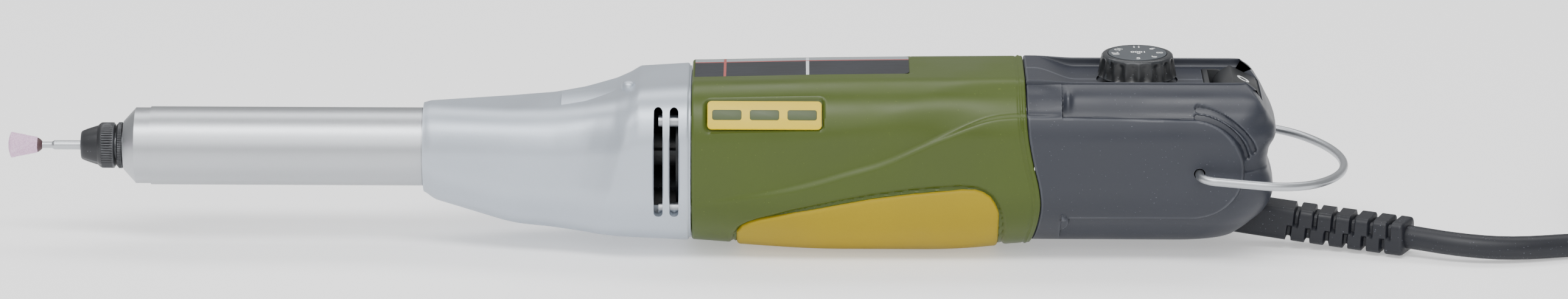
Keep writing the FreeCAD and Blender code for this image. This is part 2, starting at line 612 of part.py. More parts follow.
def rotor():
    turned("motor_shaft", (
        ("shaft_front", "0"), ("shaft_front", "shaft_d/2"), ("shaft_end", "shaft_d/2"), ("shaft_end", "0"),
    ))
    body = new_body("fan")
    revolve(body, (
        ("fan_front", "shaft_d/2"), ("fan_front", "fan_hub_d/2"), ("fan_disc", "fan_hub_d/2"),
        ("fan_disc", "fan_d/2"), ("fan_end", "fan_d/2"), ("fan_end", "shaft_d/2"),
    ))
    blade = outline(body, "YZ_Plane", (
        ("-blade/2", "fan_hub_d/2 - 0.5"), ("blade/2", "fan_hub_d/2 - 0.5"),
        ("blade/2", "fan_d/2 - 0.3"), ("-blade/2", "fan_d/2 - 0.3"),
    ), "fan_front + 0.6")
    around(body, pad(body, blade, "fan_disc - fan_front - 0.6"), blade, "blade_count")
    keep(body, "fan")
    body = new_body("rotor_core")
    revolve(body, (
        ("core_front", "shaft_d/2"), ("core_front", "core_d/2"),
        ("core_end", "core_d/2"), ("core_end", "shaft_d/2"),
    ))
    slot = outline(body, "YZ_Plane", (
        ("-rotor_slot/2", "core_d/2 - rotor_slot_depth"), ("rotor_slot/2", "core_d/2 - rotor_slot_depth"),
        ("rotor_slot/2", "core_d/2 + 1"), ("-rotor_slot/2", "core_d/2 + 1"),
    ), "core_front")
    pocket = cut_through(body, slot, "core_end - core_front", symmetric=False, backwards=True)
    around(body, pocket, slot, "rotor_slot_count")
    keep(body, "rotor_core")
    ends = []
    for start, end in (("core_front - winding_reach", "core_front"), ("core_end", "core_end + winding_reach")):
        bundle = new_body("winding")
        revolve(bundle, (
            (start, "winding_hub_d/2"), (start, "winding_d/2 - 1"), (f"{start} + 1", "winding_d/2"),
            (f"{end} - 1", "winding_d/2"), (end, "winding_d/2 - 1"), (end, "winding_hub_d/2"),
        ))
        ends.append(bundle)
    group("rotor_windings", ends)
    turned("commutator", (
        ("commutator_front", "shaft_d/2"), ("commutator_front", "commutator_d/2"),
        ("commutator_end", "commutator_d/2"), ("commutator_end", "shaft_d/2"),
    ))


def ring(name, start, end, inner, outer):
    body = new_body(name)
    revolve(body, ((start, inner), (start, outer), (end, outer), (end, inner)))
    return body


def stator():
    yoke = ring("yoke", "stator_front", "stator_end", "yoke_bore_d/2", "stator_d/2")
    poles = ring("poles", "stator_front", "stator_end", "pole_bore_d/2", "yoke_bore_d/2 + 0.5")
    middle = box("pole_zone", ("stator_front", "-pole_half", "-20"), ("stator_end", "pole_half", "20"))
    pair = combine("Part::Common", "pole_pair", poles, middle)
    keep(fuse("stator", [yoke, pair]), "stator_core")
    coils = []
    for side, low, high in (("near", "-20", "-pole_half - coil_gap"), ("far", "pole_half + coil_gap", "20")):
        wound = ring("wound", "stator_front - coil_reach", "stator_end + coil_reach",
                     "coil_bore_d/2", "coil_d/2")
        zone = box("coil_zone", ("stator_front - coil_reach", low, "-20"),
                   ("stator_end + coil_reach", high, "20"))
        coils.append(combine("Part::Common", side + "_coil", wound, zone))
    group("field_coils", coils)


def brush_gear():
    turned("rear_bracket", (
        ("bracket_front", "motor_bearing_d/2"), ("bracket_front", "bracket_d/2"),
        ("bracket_end", "bracket_d/2"), ("bracket_end", "web_hole_d/2"),
        ("bracket_front + motor_bearing_width", "web_hole_d/2"),
        ("bracket_front + motor_bearing_width", "motor_bearing_d/2"),
    ))
    holders, brushes, springs = [], [], []
    half_length, half_width = "brush_length/2", "brush_width/2"
    for sign, turn in (("", 0), ("-", 180)):
        low = (f"brush_at - {half_length}", f"-({half_width})")
        high = (f"brush_at + {half_length}", half_width)
        spans = {
            "brush": ("brush_foot", "brush_top", "0"),
            "holder": ("holder_foot", "holder_top", "holder_wall"),
            "channel": ("holder_foot - 1", "holder_top - holder_wall", "0.1"),
        }
        blocks = {}
        for name, (foot, top, grow) in spans.items():
            ends = (foot, top) if turn == 0 else (f"-({top})", f"-({foot})")
            blocks[name] = box(name, (f"{low[0]} - {grow}", f"{low[1]} - {grow}", ends[0]),
                               (f"{high[0]} + {grow}", f"{high[1]} + {grow}", ends[1]))
        brushes.append(blocks["brush"])
        holders.append(combine("Part::Cut", "brush_holder", blocks["holder"], blocks["channel"]))
        start = "brush_top" if turn == 0 else "-(holder_top - holder_wall)"
        height = "holder_top - holder_wall - brush_top"
        outer = rod("spring_outer", ("brush_at", "0", start), ALONG_Z, "spring_d", height)
        inner = rod("spring_inner", ("brush_at", "0", start), ALONG_Z, "spring_d - 2*spring_wire", height)
        springs.append(combine("Part::Cut", "brush_spring", outer, inner))
    group("brush_holders", holders)
    group("carbon_brushes", brushes)
    group("brush_springs", springs)


def housing_screws():
    """Three screws along Y, with the holes that they need."""
    screws, holes = [], []
    for x, z in HOUSING_SCREWS:
        shank = rod("shank", (x, "-screw_tip", z), ALONG_Y, "screw_d", "screw_tip + screw_shoulder")
        head = rod("head", (x, "screw_shoulder", z), ALONG_Y, "screw_head_d", "screw_head")
        screws.append(fuse("housing_screw", [shank, head]))
        holes.append(rod("hole", (x, "-screw_tip - 0.5", z), ALONG_Y, "screw_d + 2*screw_play", "screw_tip + 20"))
        holes.append(rod("recess", (x, "screw_shoulder", z), ALONG_Y, "screw_head_d + 2*screw_play", "12"))
    group("housing_screws", screws)
    return fuse("housing_screw_holes", holes)


def rocker_frame():
    """Placement of the switch: its origin is the rocker's ridge, its x runs down the slope."""
    ridge = Vector(value("rocker_x"), 0, value("rocker_z"))
    return Placement(ridge, Rotation(ALONG_Y, value("rocker_slope")))


def switch_block(wall, depth, top):
    """Two corners of a block around the rocker's room, in the switch's own frame."""
    half = f"rocker_width/2 + rocker_gap + {wall}"
    return ((f"-rocker_room - ({wall})", f"-({half})", f"-({depth})"),
            (f"rocker_length + rocker_gap + {wall}", half, top))


def rear_housing():
    body = new_body("rear_form")
    loft(body, [
        section(body, station, "rear_half", "rear_top", "rear_bottom", "top_radius - 2", "belly_radius - 3")
        for station in ("housing_end + 0.1", "rear_end")
    ])
    tail = tuple((str(x), str(z)) for x, z in TAIL_PROFILE)
    corner = (("231", "-30"), ("rear_end + 9", "-30"), ("rear_end + 9", "24"))
    cut_through(body, outline(body, "XZ_Plane", tail + corner), "60")
    deck = outline(body, "XY_Plane", (
        ("deck_front", "-deck_half"), ("deck_end", "-deck_half"), ("deck_end", "deck_half"),
        ("deck_front", "deck_half"),
    ), "deck_z")
    cut_through(body, deck, "8", symmetric=False, backwards=True)
    room = [
        section(body, "housing_end", "room_half", "room_top", "room_bottom", "room_radius", "room_radius"),
        section(body, "room_back", "tail_room_half", "room_top - 2", "tail_room_bottom",
                "room_radius", "room_radius"),
    ]
    loft(body, room, "PartDesign::SubtractiveLoft")
    cut_through(body, circle(body, "XZ_Plane", "bail_x", "0", "pivot_hole_d"), "60")
    cut_through(body, circle(body, "XY_Plane", "dial_x", "0", "dial_hole_d", "deck_z"), "4",
                symmetric=False)
    for x, z in HOUSING_SCREWS[:2]:
        post = circle(body, "XZ_Plane", x, z, "boss_outer_d")
        pad(body, post, "2 * room_half + 1", symmetric=True)
    doc.recompute()
    seat = box("boot_seat", ("boot_root_x - 1", "-boot_half_width - boot_play", "boot_seat_z"),
               ("room_back", "boot_half_width + boot_play", "-9"))
    exit_slot = box("boot_exit", ("room_back - 2", "-boot_half_width - boot_play", "-23"),
                    ("rear_end + 5", "boot_half_width + boot_play", "-11.6"))
    well = box("switch_well", *switch_block("switch_wall + well_play", "switch_depth + well_play", "6"))
    fitted_well = doc.addObject("Part::Compound", "fitted_well")
    fitted_well.Links = [well]
    fitted_well.Placement = rocker_frame()
    openings = fuse("rear_openings", [seat, exit_slot, fitted_well, housing_screws()])
    shell = combine("Part::Cut", "rear_shell", body, openings)
    for label, low, high in (("rear_housing_left", "-30", "0"), ("rear_housing_right", "0", "30")):
        half = box("half_zone", ("housing_end - 2", low, "-30"), ("rear_end + 5", high, "30"))
        keep(combine("Part::Common", "rear_half_shell", shell, half), label)


def speed_dial():
    body = new_body("speed_dial")
    sketch_points = (
        ("0", "dial_stem_end"), ("dial_stem_d/2", "dial_stem_end"), ("dial_stem_d/2", "dial_bottom"),
        ("dial_d/2", "dial_bottom"), ("dial_rim_d/2", "dial_top"), ("0", "dial_top"),
    )
    revolve(body, sketch_points, role="XZ_Plane", axis="V_Axis")
    body.setExpression("Placement.Base.x", bound("dial_x"))
    keep(body, "speed_dial")
    keep(rod("disc", ("dial_x", "0", "dial_top"), ALONG_Z, "face_d", "face_thickness"), "dial_face")


def rocker_switch():
    body = new_body("rocker")
    profile = outline(body, "XZ_Plane", (
        ("0", "0"), ("rocker_length", "0"), ("rocker_length", "-rocker_side"),
        ("rocker_length/2", "-rocker_root"), ("-0.5", "-rocker_root"),
        ("-rocker_front", "-rocker_root/2"), ("-rocker_front/2 - 0.3", "-1"),
    ))
    pad(body, profile, "rocker_width", symmetric=True)
    trunnion = rod("trunnion", ("rocker_pivot_x", "-rocker_width/2 - trunnion_out", "-rocker_pivot_down"),
                   ALONG_Y, "trunnion_d", "rocker_width + 2*trunnion_out")
    rocker = fuse("rocker_block", [body, trunnion])
    rocker.Placement = rocker_frame()
    keep(rocker, "rocker")
    outer = box("switch_outer", *switch_block("switch_wall", "switch_depth", "-switch_sink"))
    inner = box("switch_inner", *switch_block("0", "switch_floor", "1"))
    housing = combine("Part::Cut", "switch", outer, inner)
    housing.Placement = rocker_frame()
    keep(housing, "switch_body")


def electronics():
    keep(box("board", ("board_front", "-board_half", "board_z"),
             ("board_end", "board_half", "board_z + board_thickness")), "control_board")
    keep(box("pot", ("dial_x - pot_half", "-pot_half", "pot_bottom"),
             ("dial_x + pot_half", "pot_half", "dial_stem_end - 0.2")), "potentiometer")
    keep(rod("can", ("capacitor_x", "-capacitor_half", "capacitor_z"), ALONG_Y,
             "capacitor_d", "2*capacitor_half"), "capacitor")


def bail():
    """A wire loop whose two ends turn inwards into the housing's flanks."""
    body = new_body("bail_wire")
    half, bend, leg = value("bail_half"), value("bail_bend"), value("bail_leg")
    side, tip = value("bail_side_radius"), value("bail_tip_radius")
    inner = value("bail_inner")
    tip_centre = leg - math.sqrt((tip - side) ** 2 - (half - side) ** 2)
    lean = math.atan2(half - side, leg - tip_centre)
    path = new_sketch(body, "XY_Plane")

    def arc(x, y, radius, start, end):
        path.addGeometry(Part.ArcOfCircle(Part.Circle(Vector(x, y, 0), ALONG_Z, radius), start, end), False)

    def line(x, y, to_x, to_y):
        path.addGeometry(Part.LineSegment(Vector(x, y, 0), Vector(to_x, to_y, 0)), False)

    line(0, -inner, 0, -half + bend)
    arc(bend, -half + bend, bend, math.pi, 1.5 * math.pi)
    line(bend, -half, leg, -half)
    arc(leg, -half + side, side, -math.pi / 2, -lean)
    arc(tip_centre, 0, tip, -lean, lean)
    arc(leg, half - side, side, lean, math.pi / 2)
    line(leg, half, bend, half)
    arc(bend, half - bend, bend, math.pi / 2, math.pi)
    line(0, half - bend, 0, inner)
    wire = circle(body, "XZ_Plane", "0", "0", "bail_wire_d", "bail_inner")
    pipe = body.newObject("PartDesign::AdditivePipe", "bent_wire")
    pipe.Profile = wire
    pipe.Spine = (path, [f"Edge{number}" for number in range(1, 10)])
    body.Placement = Placement(Vector(value("bail_x"), 0, 0), Rotation(ALONG_Y, value("bail_droop")))
    body.setExpression("Placement.Base.x", bound("bail_x"))
    keep(body, "bail_wire")


def shaped(label, shape):
    """A piece whose shape is worked out here, from the sheet's sizes."""
    piece = doc.addObject("Part::Feature", label)
    piece.Shape = shape
    piece.Placement = Placement()
    return keep(piece, label)


def boot_line():
    """Corners of the boot's centre line: inner end, start and end of its bend."""
    slope, turn = math.radians(value("boot_slope")), math.radians(value("boot_turn"))
    out = Vector(math.cos(slope), 0, -math.sin(slope))
    away = Vector(math.cos(turn), -math.sin(turn), 0)
    bend = Vector(value("boot_bend_x"), 0, value("boot_bend_z"))
    root = bend - out * (value("boot_bend_x - boot_root_x") / out.x)
    reach = value("boot_end_x - boot_bend_x") / (out.x + away.x)
    corner = bend + out * reach
    return root, bend, corner, corner + away * reach, out, away


def rounded_path(points):
    """Straight runs joined by tangent arcs as large as the runs allow; prints each radius."""
    edges, start = [], points[0]
    for before, corner, after in zip(points, points[1:], points[2:]):
        back, ahead = before - corner, after - corner
        half_turn = (math.pi - back.getAngle(ahead)) / 2
        cut = 0.45 * min(back.Length, ahead.Length)
        print(f"bend radius {cut / math.tan(half_turn):.1f} mm, turn {math.degrees(2 * half_turn):.1f} deg")
        back.normalize()
        ahead.normalize()
        first, last = corner + back * cut, corner + ahead * cut
        middle = back + ahead
        middle.normalize()
        radius = cut / math.tan(half_turn)
        crown = corner + middle * (radius / math.cos(half_turn) - radius)
        edges.append(Part.LineSegment(start, first).toShape())
        edges.append(Part.Arc(first, crown, last).toShape())
        start = last
    edges.append(Part.LineSegment(start, points[-1]).toShape())
    return Part.Wire(edges)


def tube(label, points):
    """A cord solid along a route, with its volume compared with section times length."""
    path = rounded_path(points)
    heading = points[1] - points[0]
    radius = value("cord_d/2")
    ring_edge = Part.Circle(points[0], heading, radius).toShape()
    solid = path.makePipeShell([Part.Wire([ring_edge])], True, False)
    expected = math.pi * radius ** 2 * path.Length
    print(f"{label}: {path.Length:.1f} mm long, volume {solid.Volume / expected:.4f} of expected")
    shaped(label, solid)
    return path.Length


def boot():
    root, bend, corner, end, out, away = boot_line()
    path_middle = (bend - corner).normalize() + (end - corner).normalize()
    path_middle.normalize()
    reach = (bend - corner).Length
    half_turn = out.getAngle(away) / 2
    radius = reach / math.tan(half_turn)
    print(f"boot bend radius {radius:.1f} mm")
    crown = corner + path_middle * (radius / math.cos(half_turn) - radius)
    path = Part.Wire([Part.LineSegment(root, bend).toShape(), Part.Arc(bend, crown, end).toShape()])
    wide, high, corner_radius = value("boot_half_width"), value("boot_half_height"), value("boot_corner")
    face = Part.makePlane(2 * wide, 2 * high, Vector(-wide, -high, 0))
    block = face.extrude(Vector(0, 0, 1))
    uprights = [edge for edge in block.Edges if abs(edge.tangentAt(edge.FirstParameter).z) > 0.9]
    profile = min(block.makeFillet(corner_radius, uprights).Faces, key=lambda side: side.CenterOfMass.z)
    outline_wire = profile.OuterWire
    sideways, upward = Vector(0, 1, 0), Vector(0, 1, 0).cross(out) * -1
    turn = FreeCAD.Matrix(sideways.x, upward.x, out.x, root.x, sideways.y, upward.y, out.y, root.y,
                          sideways.z, upward.z, out.z, root.z, 0, 0, 0, 1)
    solid = path.makePipeShell([outline_wire.transformGeometry(turn)], True, False)
    shaped("cord_boot", solid)
    return end, away


def cord_clamp():
    top = value("boot_bend_z + boot_half_height") + math.tan(math.radians(value("boot_slope"))) * value(
        "boot_bend_x - clamp_front")
    low, high = f"{top + 0.1:.4f}", f"{top + 0.1:.4f} + clamp_height"
    bar = box("clamp_bar", ("clamp_front", "-clamp_half", low), ("clamp_front + clamp_length", "clamp_half", high))
    screws, holes = [], []
    for across in ("-clamp_screw_y", "clamp_screw_y"):
        middle = "clamp_front + clamp_length/2"
        foot = f"{high} - clamp_screw_length + 1.4"
        shank = rod("shank", (middle, across, foot), ALONG_Z, "clamp_screw_d", "clamp_screw_length - 1.4")
        head = rod("head", (middle, across, high), ALONG_Z, "clamp_screw_d + 2", "1.4")
        screws.append(fuse("clamp_screw", [shank, head]))
        holes.append(rod("hole", (middle, across, foot), ALONG_Z, "clamp_screw_d + 2*screw_play",
                         "clamp_screw_length"))
    keep(combine("Part::Cut", "bar", bar, fuse("clamp_holes", holes)), "cord_clamp")
    group("clamp_screws", screws)


def winding_length(tail_angle):
    """Length of the cord in the coil: in, out and in again over its three layers, up to the tail."""
    middle, step = value("coil_mid"), value("cord_d")
    across = (middle + step, middle, middle - step)
    last_turn = 1 + (tail_angle - 1.5 * math.pi) / (2 * math.pi)
    full_turns = across + across[::-1] + across[:1]
    return 2 * math.pi * (sum(full_turns) + middle * last_turn)


def cord(boot_end, boot_heading):
    """The mains cord: the free stretch, the tied coil and the tail to the plug."""
    floor = -value("belly")
    free = tube("mains_cord", [boot_end] + [Vector(*point) for point in CORD_ROUTE])
    body = new_body("cord_coil")
    corner = 2.4
    inside = "(coil_mid - cord_d * coil_columns/2)"
    outside = "(coil_mid + cord_d * coil_columns/2)"
    top = "(cord_d * coil_layers)"
    revolve(body, (
        (f"{inside} + {corner}", "0"), (f"{outside} - {corner}", "0"), (outside, corner),
        (outside, f"{top} - {corner}"), (f"{outside} - {corner}", top),
        (f"{inside} + {corner}", top), (inside, f"{top} - {corner}"), (inside, corner),
    ), role="XZ_Plane", axis="V_Axis")
    body.Placement = Placement(Vector(value("coil_x"), value("coil_y"), floor), Rotation())
    keep(body, "cord_coil")
    near = "coil_y + coil_mid - cord_d*coil_columns/2"
    far = "coil_y + coil_mid + cord_d*coil_columns/2"
    band = box("band", ("coil_x - tie_width/2", near + " - tie_thickness", f"{floor}"),
               ("coil_x + tie_width/2", far + " + tie_thickness", f"{floor} + {top} + tie_thickness"))
    opening = box("band_opening", ("coil_x - tie_width", near, f"{floor} + tie_thickness"),
                  ("coil_x + tie_width", far, f"{floor} + {top}"))
    keep(combine("Part::Cut", "tie", band, opening), "cord_tie")
    top_of_coil = Vector(value("coil_x"), value("coil_y"), floor + value(top))
    tail_points = [top_of_coil + Vector(*step) for step in TAIL_ROUTE]
    tail = tube("cord_tail", tail_points)
    wound = winding_length(math.radians(TAIL_ANGLE))
    print(f"whole cord {free + tail + wound:.0f} mm, {wound:.0f} mm of it in the coil")
    return tail_points


def plug(tail_points):
    """A flat two-pin plug that lies on the coil, in line with the cord's tail."""
    entry = tail_points[-1]
    heading = entry - tail_points[-2]
    lie = Placement(entry, Rotation(ALONG_Z, math.degrees(math.atan2(heading.y, heading.x))))
    body = new_body("plug_body")
    loft(body, [
        section(body, "0", "plug_neck/2", "plug_neck/2", "plug_neck/2", "4", "4"),
        section(body, "plug_length - plug_face", "plug_width/2", "plug_thickness/2",
                "plug_thickness/2", "6.4", "6.4"),
        section(body, "plug_length", "plug_width/2", "plug_thickness/2", "plug_thickness/2", "6.4", "6.4"),
    ])
    sockets = []
    pins = []
    for across in ("-pin_pitch/2", "pin_pitch/2"):
        start = ("plug_length - pin_root", across, "0")
        sockets.append(rod("socket", start, ALONG_X, "pin_root_d", "pin_root + 1"))
        root = rod("pin_root", start, ALONG_X, "pin_root_d", "pin_root")
        stem = rod("pin_stem", ("plug_length", across, "0"), ALONG_X, "pin_d", "pin_length")
        pins.append(fuse("pin", [root, stem]))
    moulded = combine("Part::Cut", "plug", body, fuse("pin_sockets", sockets))
    moulded.Placement = lie
    keep(moulded, "plug_body")
    group("plug_pins", pins).Placement = lie
    tip = lie.multVec(Vector(value("plug_length"), 0, 0))
    print(f"plug face centre {tip.x:.3f} {tip.y:.3f} {tip.z:.3f}, heading {heading.x:.4f} {heading.y:.4f}")


def write_parts():
    """Stop on any failed object; otherwise write one file for each sub-part."""
    doc.recompute()
    broken = [item.Label for item in doc.Objects if {"Invalid", "Error"} & set(item.State)]
    broken += [piece.Label for piece in sub_parts if piece.Shape.isNull() or not piece.Shape.isValid()]
    broken += [piece.Label for piece in sub_parts if not piece.Shape.Solids]
    if broken:
        raise ValueError(f"failed objects: {broken}")
    os.makedirs("parts", exist_ok=True)
    for piece in sub_parts:
        piece.Shape.exportStep(f"parts/{piece.Label}.step")
    print(f"{len(sub_parts)} sub-parts")


mounted_point()
collet_and_nut()
spindle_group()
bearings()
neck()
coupling()
motor_housing(head_casting())
rotor()
stator()
brush_gear()
rear_housing()
speed_dial()
rocker_switch()
electronics()
bail()
cord_clamp()
plug(cord(*boot()))
write_parts()
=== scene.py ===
"""Looks of a long-neck straight grinder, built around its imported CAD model. Sizes are in millimetres until a mesh is made."""

import json
import math

import bmesh
import bpy
import numpy as np
from mathutils import Matrix, Vector


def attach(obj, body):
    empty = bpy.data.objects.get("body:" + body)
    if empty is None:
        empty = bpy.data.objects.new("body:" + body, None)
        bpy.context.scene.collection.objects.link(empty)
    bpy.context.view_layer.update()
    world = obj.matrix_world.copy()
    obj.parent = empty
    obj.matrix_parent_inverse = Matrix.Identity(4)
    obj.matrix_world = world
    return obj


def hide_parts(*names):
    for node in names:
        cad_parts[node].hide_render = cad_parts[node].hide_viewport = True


MM = 0.001
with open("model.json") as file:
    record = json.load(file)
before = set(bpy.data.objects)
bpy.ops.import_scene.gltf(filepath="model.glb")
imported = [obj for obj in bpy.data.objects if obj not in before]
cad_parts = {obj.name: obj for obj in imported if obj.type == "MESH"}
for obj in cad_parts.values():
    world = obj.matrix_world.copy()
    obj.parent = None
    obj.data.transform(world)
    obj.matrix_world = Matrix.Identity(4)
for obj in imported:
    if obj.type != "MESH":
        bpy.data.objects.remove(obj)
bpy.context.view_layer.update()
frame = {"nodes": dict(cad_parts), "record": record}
random = np.random.default_rng(7)

# ---------------------------------------------------------------- camera, floor and light
ELEVATION, ROLL = math.radians(15.5), math.radians(0.25)
DISTANCE, FIELD_WIDTH, SENSOR = 1.87, 0.400, 36.0
AIM = Vector((0.1267, 0, -0.0004))
FLOOR_Z = -24.8


def make_camera():
    forward = Vector((0, math.cos(ELEVATION), -math.sin(ELEVATION)))
    right, up = Vector((1, 0, 0)), Vector((0, math.sin(ELEVATION), math.cos(ELEVATION)))
    across = right * math.cos(ROLL) + up * math.sin(ROLL)
    upwards = up * math.cos(ROLL) - right * math.sin(ROLL)
    camera = bpy.data.objects.new("camera", bpy.data.cameras.new("camera"))
    bpy.context.scene.collection.objects.link(camera)
    turn = Matrix((across, upwards, -forward)).transposed().to_4x4()
    camera.matrix_world = Matrix.Translation(AIM - forward * DISTANCE) @ turn
    camera.data.sensor_width = SENSOR
    camera.data.lens = SENSOR * DISTANCE / FIELD_WIDTH
    camera.data.clip_start, camera.data.clip_end = 0.05, 50
    bpy.context.scene.camera = camera


def area_light(name, place, aim, width, height, watts, colour=(1, 1, 1)):
    light = bpy.data.lights.new(name, "AREA")
    light.shape, light.size, light.size_y = "RECTANGLE", width, height
    light.energy, light.color = watts, colour
    lamp = bpy.data.objects.new(name, light)
    bpy.context.scene.collection.objects.link(lamp)
    lamp.location = place
    lamp.rotation_euler = (Vector(aim) - Vector(place)).to_track_quat("-Z", "Y").to_euler()
    return lamp


def make_light():
    world = bpy.data.worlds.new("studio")
    bpy.context.scene.world = world
    world.use_nodes = True
    background = world.node_tree.nodes["Background"]
    background.inputs["Color"].default_value = (1, 1, 1, 1)
    background.inputs["Strength"].default_value = 0.5
    area_light("key", (0.0, -0.55, 1.05), (0.12, 0, 0), 1.5, 0.34, 15)
    area_light("front", (0.12, -1.5, 0.75), (0.12, 0, 0), 2.2, 1.1, 9)
    area_light("top", (0.15, 0.5, 1.0), (0.12, 0, 0), 1.6, 0.4, 8)
    sheen = area_light("sheen", (-0.01, -0.9, 0.9), (-0.01, 0, 0), 0.32, 1.2, 3.6)
    sheen.visible_diffuse = False


make_camera()
make_light()


# ---------------------------------------------------------------- materials
class Nodes:
    """Short way to wire a material's nodes."""

    def __init__(self, name):
        self.material = bpy.data.materials.new(name)
        self.material.use_nodes = True
        self.tree = self.material.node_tree
        self.shader = self.tree.nodes["Principled BSDF"]
        self.place = self.add("ShaderNodeTexCoord").outputs["Object"]

    def add(self, kind, **settings):
        node = self.tree.nodes.new(kind)
        for key, value in settings.items():
            setattr(node, key, value)
        return node

    def link(self, source, target):
        self.tree.links.new(source, target)

    def noise(self, scale, detail=3.0, rough=0.55, stretch=(1, 1, 1)):
        mapping = self.add("ShaderNodeMapping")
        mapping.inputs["Scale"].default_value = stretch
        self.link(self.place, mapping.inputs["Vector"])
        noise = self.add("ShaderNodeTexNoise")
        noise.inputs["Scale"].default_value = scale
        noise.inputs["Detail"].default_value = detail
        noise.inputs["Roughness"].default_value = rough
        self.link(mapping.outputs["Vector"], noise.inputs["Vector"])
        return noise.outputs[0]

    def ramp(self, value, stops, sharp=False):
        ramp = self.add("ShaderNodeValToRGB")
        ramp.color_ramp.interpolation = "CONSTANT" if sharp else "LINEAR"
        while len(ramp.color_ramp.elements) < len(stops):
            ramp.color_ramp.elements.new(0.5)
        for element, (at, colour) in zip(ramp.color_ramp.elements, stops):
            element.position = at
            element.color = (*colour, 1)
        self.link(value, ramp.inputs["Fac"])
        return ramp.outputs["Color"]

    def spread(self, value, low, high, from_low=0.3, from_high=0.7):
        node = self.add("ShaderNodeMapRange")
        for key, number in (("From Min", from_low), ("From Max", from_high), ("To Min", low), ("To Max", high)):
            node.inputs[key].default_value = number
        self.link(value, node.inputs["Value"])
        return node.outputs[0]

    def maths(self, kind, *values):
        node = self.add("ShaderNodeMath", operation=kind)
        for socket, value in zip(node.inputs, values):
            if isinstance(value, (int, float)):
                socket.default_value = value
            else:
                self.link(value, socket)
        return node.outputs[0]

    def mix(self, share, first, second):
        node = self.add("ShaderNodeMix", data_type="RGBA")
        for socket, value in ((node.inputs[0], share), (node.inputs[6], first), (node.inputs[7], second)):
            if isinstance(value, (int, float)):
                socket.default_value = value
            elif isinstance(value, tuple):
                socket.default_value = (*value, 1)
            else:
                self.link(value, socket)
        return node.outputs[2]

    def bump(self, height, strength, depth):
        node = self.add("ShaderNodeBump")
        node.inputs["Strength"].default_value = strength
        node.inputs["Distance"].default_value = depth
        self.link(height, node.inputs["Height"])
        previous = self.shader.inputs["Normal"].links
        if previous:
            self.link(previous[0].from_socket, node.inputs["Normal"])
        self.link(node.outputs["Normal"], self.shader.inputs["Normal"])


def linear(code):
    """A screen colour such as 7f8f50 in linear light."""
    parts = [int(code[i:i + 2], 16) / 255 for i in (0, 2, 4)]
    return tuple(c / 12.92 if c <= 0.04045 else ((c + 0.055) / 1.055) ** 2.4 for c in parts)


def shade(colour, share):
    return tuple(min(1, c * share) for c in colour)


def surface(name, code, rough, metallic=0.0, grain=1800, depth=0.00004, strength=0.25, mottle=0.08,
            rough_change=0.08, stretch=(1, 1, 1), specks=None, edge_lightening=0.0, coat=0.0, specular=0.5,
            edge_colour_code=None):
    """Colour with a slow mottle and a fine grain, uneven roughness, fine bump, specks and a lighter colour on sharp
    edges.
    """
    n = Nodes(name)
    base = linear(code)
    slow = n.noise(45, 2)
    fine = n.noise(grain, 3, 0.6, stretch)
    colour = n.ramp(slow, [(0.3, shade(base, 1 - mottle)), (0.7, shade(base, 1 + mottle))])
    colour = n.mix(n.spread(fine, 0, 0.25), colour, shade(base, 1 - 2.2 * mottle))
    # sharp edges, found by pointiness and broken up by noise, get a lighter colour
    if edge_lightening:
        sharp = n.add("ShaderNodeNewGeometry").outputs["Pointiness"]
        lighter_edge_share = n.maths("MULTIPLY", n.spread(sharp, 0, 1, 0.51, 0.56), n.spread(n.noise(300, 3), 0.2, edge_lightening))
        colour = n.mix(lighter_edge_share, colour, linear(edge_colour_code) if edge_colour_code else shade(base, 1.6))
    if specks:
        amount, code_of = specks
        dots = n.noise(2600, 1, 0.4)
        colour = n.mix(n.spread(dots, 0, 1, 1 - amount, 1 - amount + 0.02), colour, linear(code_of))
    n.link(colour, n.shader.inputs["Base Color"])
    n.link(n.spread(slow, max(rough - rough_change, 0.03), min(rough + rough_change, 1)), n.shader.inputs["Roughness"])
    n.shader.inputs["Metallic"].default_value = metallic
    n.shader.inputs["Specular IOR Level"].default_value = specular
    if coat:
        n.shader.inputs["Coat Weight"].default_value = coat
        n.shader.inputs["Coat Roughness"].default_value = 0.2
    n.bump(fine, strength, depth)
    return n.material


def label_print():
    """Dark plate with a light strip along its far side, a red line and two cross stripes."""
    n = Nodes("label_print")
    split = n.add("ShaderNodeSeparateXYZ")
    n.link(n.place, split.inputs["Vector"])
    along, across = split.outputs[0], split.outputs[1]
    colour = n.ramp(n.noise(60, 2), [(0.3, linear("13161c")), (0.7, linear("1a1e26"))])
    strip = n.maths("GREATER_THAN", across, 0.0086)
    colour = n.mix(strip, colour, linear("8e9498"))
    for middle, half, code in ((0.1116, 0.00033, "9c4a45"), (0.1326, 0.0004, "c9ccd0")):
        colour = n.mix(n.maths("COMPARE", along, middle, half), colour, linear(code))
    colour = n.mix(n.maths("COMPARE", across, 0.0082, 0.00028), colour, linear("a34a48"))
    scratch = n.noise(500, 4, 0.7, (0.2, 3, 3))
    colour = n.mix(n.spread(scratch, 0, 0.12, 0.55, 0.8), colour, linear("6d737c"))
    n.link(colour, n.shader.inputs["Base Color"])
    n.link(n.spread(scratch, 0.36, 0.5), n.shader.inputs["Roughness"])
    n.bump(n.noise(1500, 2), 0.12, 0.00002)
    return n.material


def turned_metal(name, code, rough, rings, stretch=(60, 1, 1), metallic=1.0, streak=0.12):
    """Bright metal with fine rings left by turning or polishing."""
    n = Nodes(name)
    base = linear(code)
    ring = n.noise(rings, 3, 0.65, stretch)
    slow = n.noise(30, 2)
    colour = n.ramp(ring, [(0.3, shade(base, 1 - streak)), (0.7, shade(base, 1 + streak * 0.4))])
    colour = n.mix(n.spread(slow, 0, 0.2), colour, shade(base, 0.85))
    n.link(colour, n.shader.inputs["Base Color"])
    n.link(n.spread(ring, rough * 0.75, rough * 1.3), n.shader.inputs["Roughness"])
    n.shader.inputs["Metallic"].default_value = metallic
    n.bump(ring, 0.10, 0.00001)
    return n.material


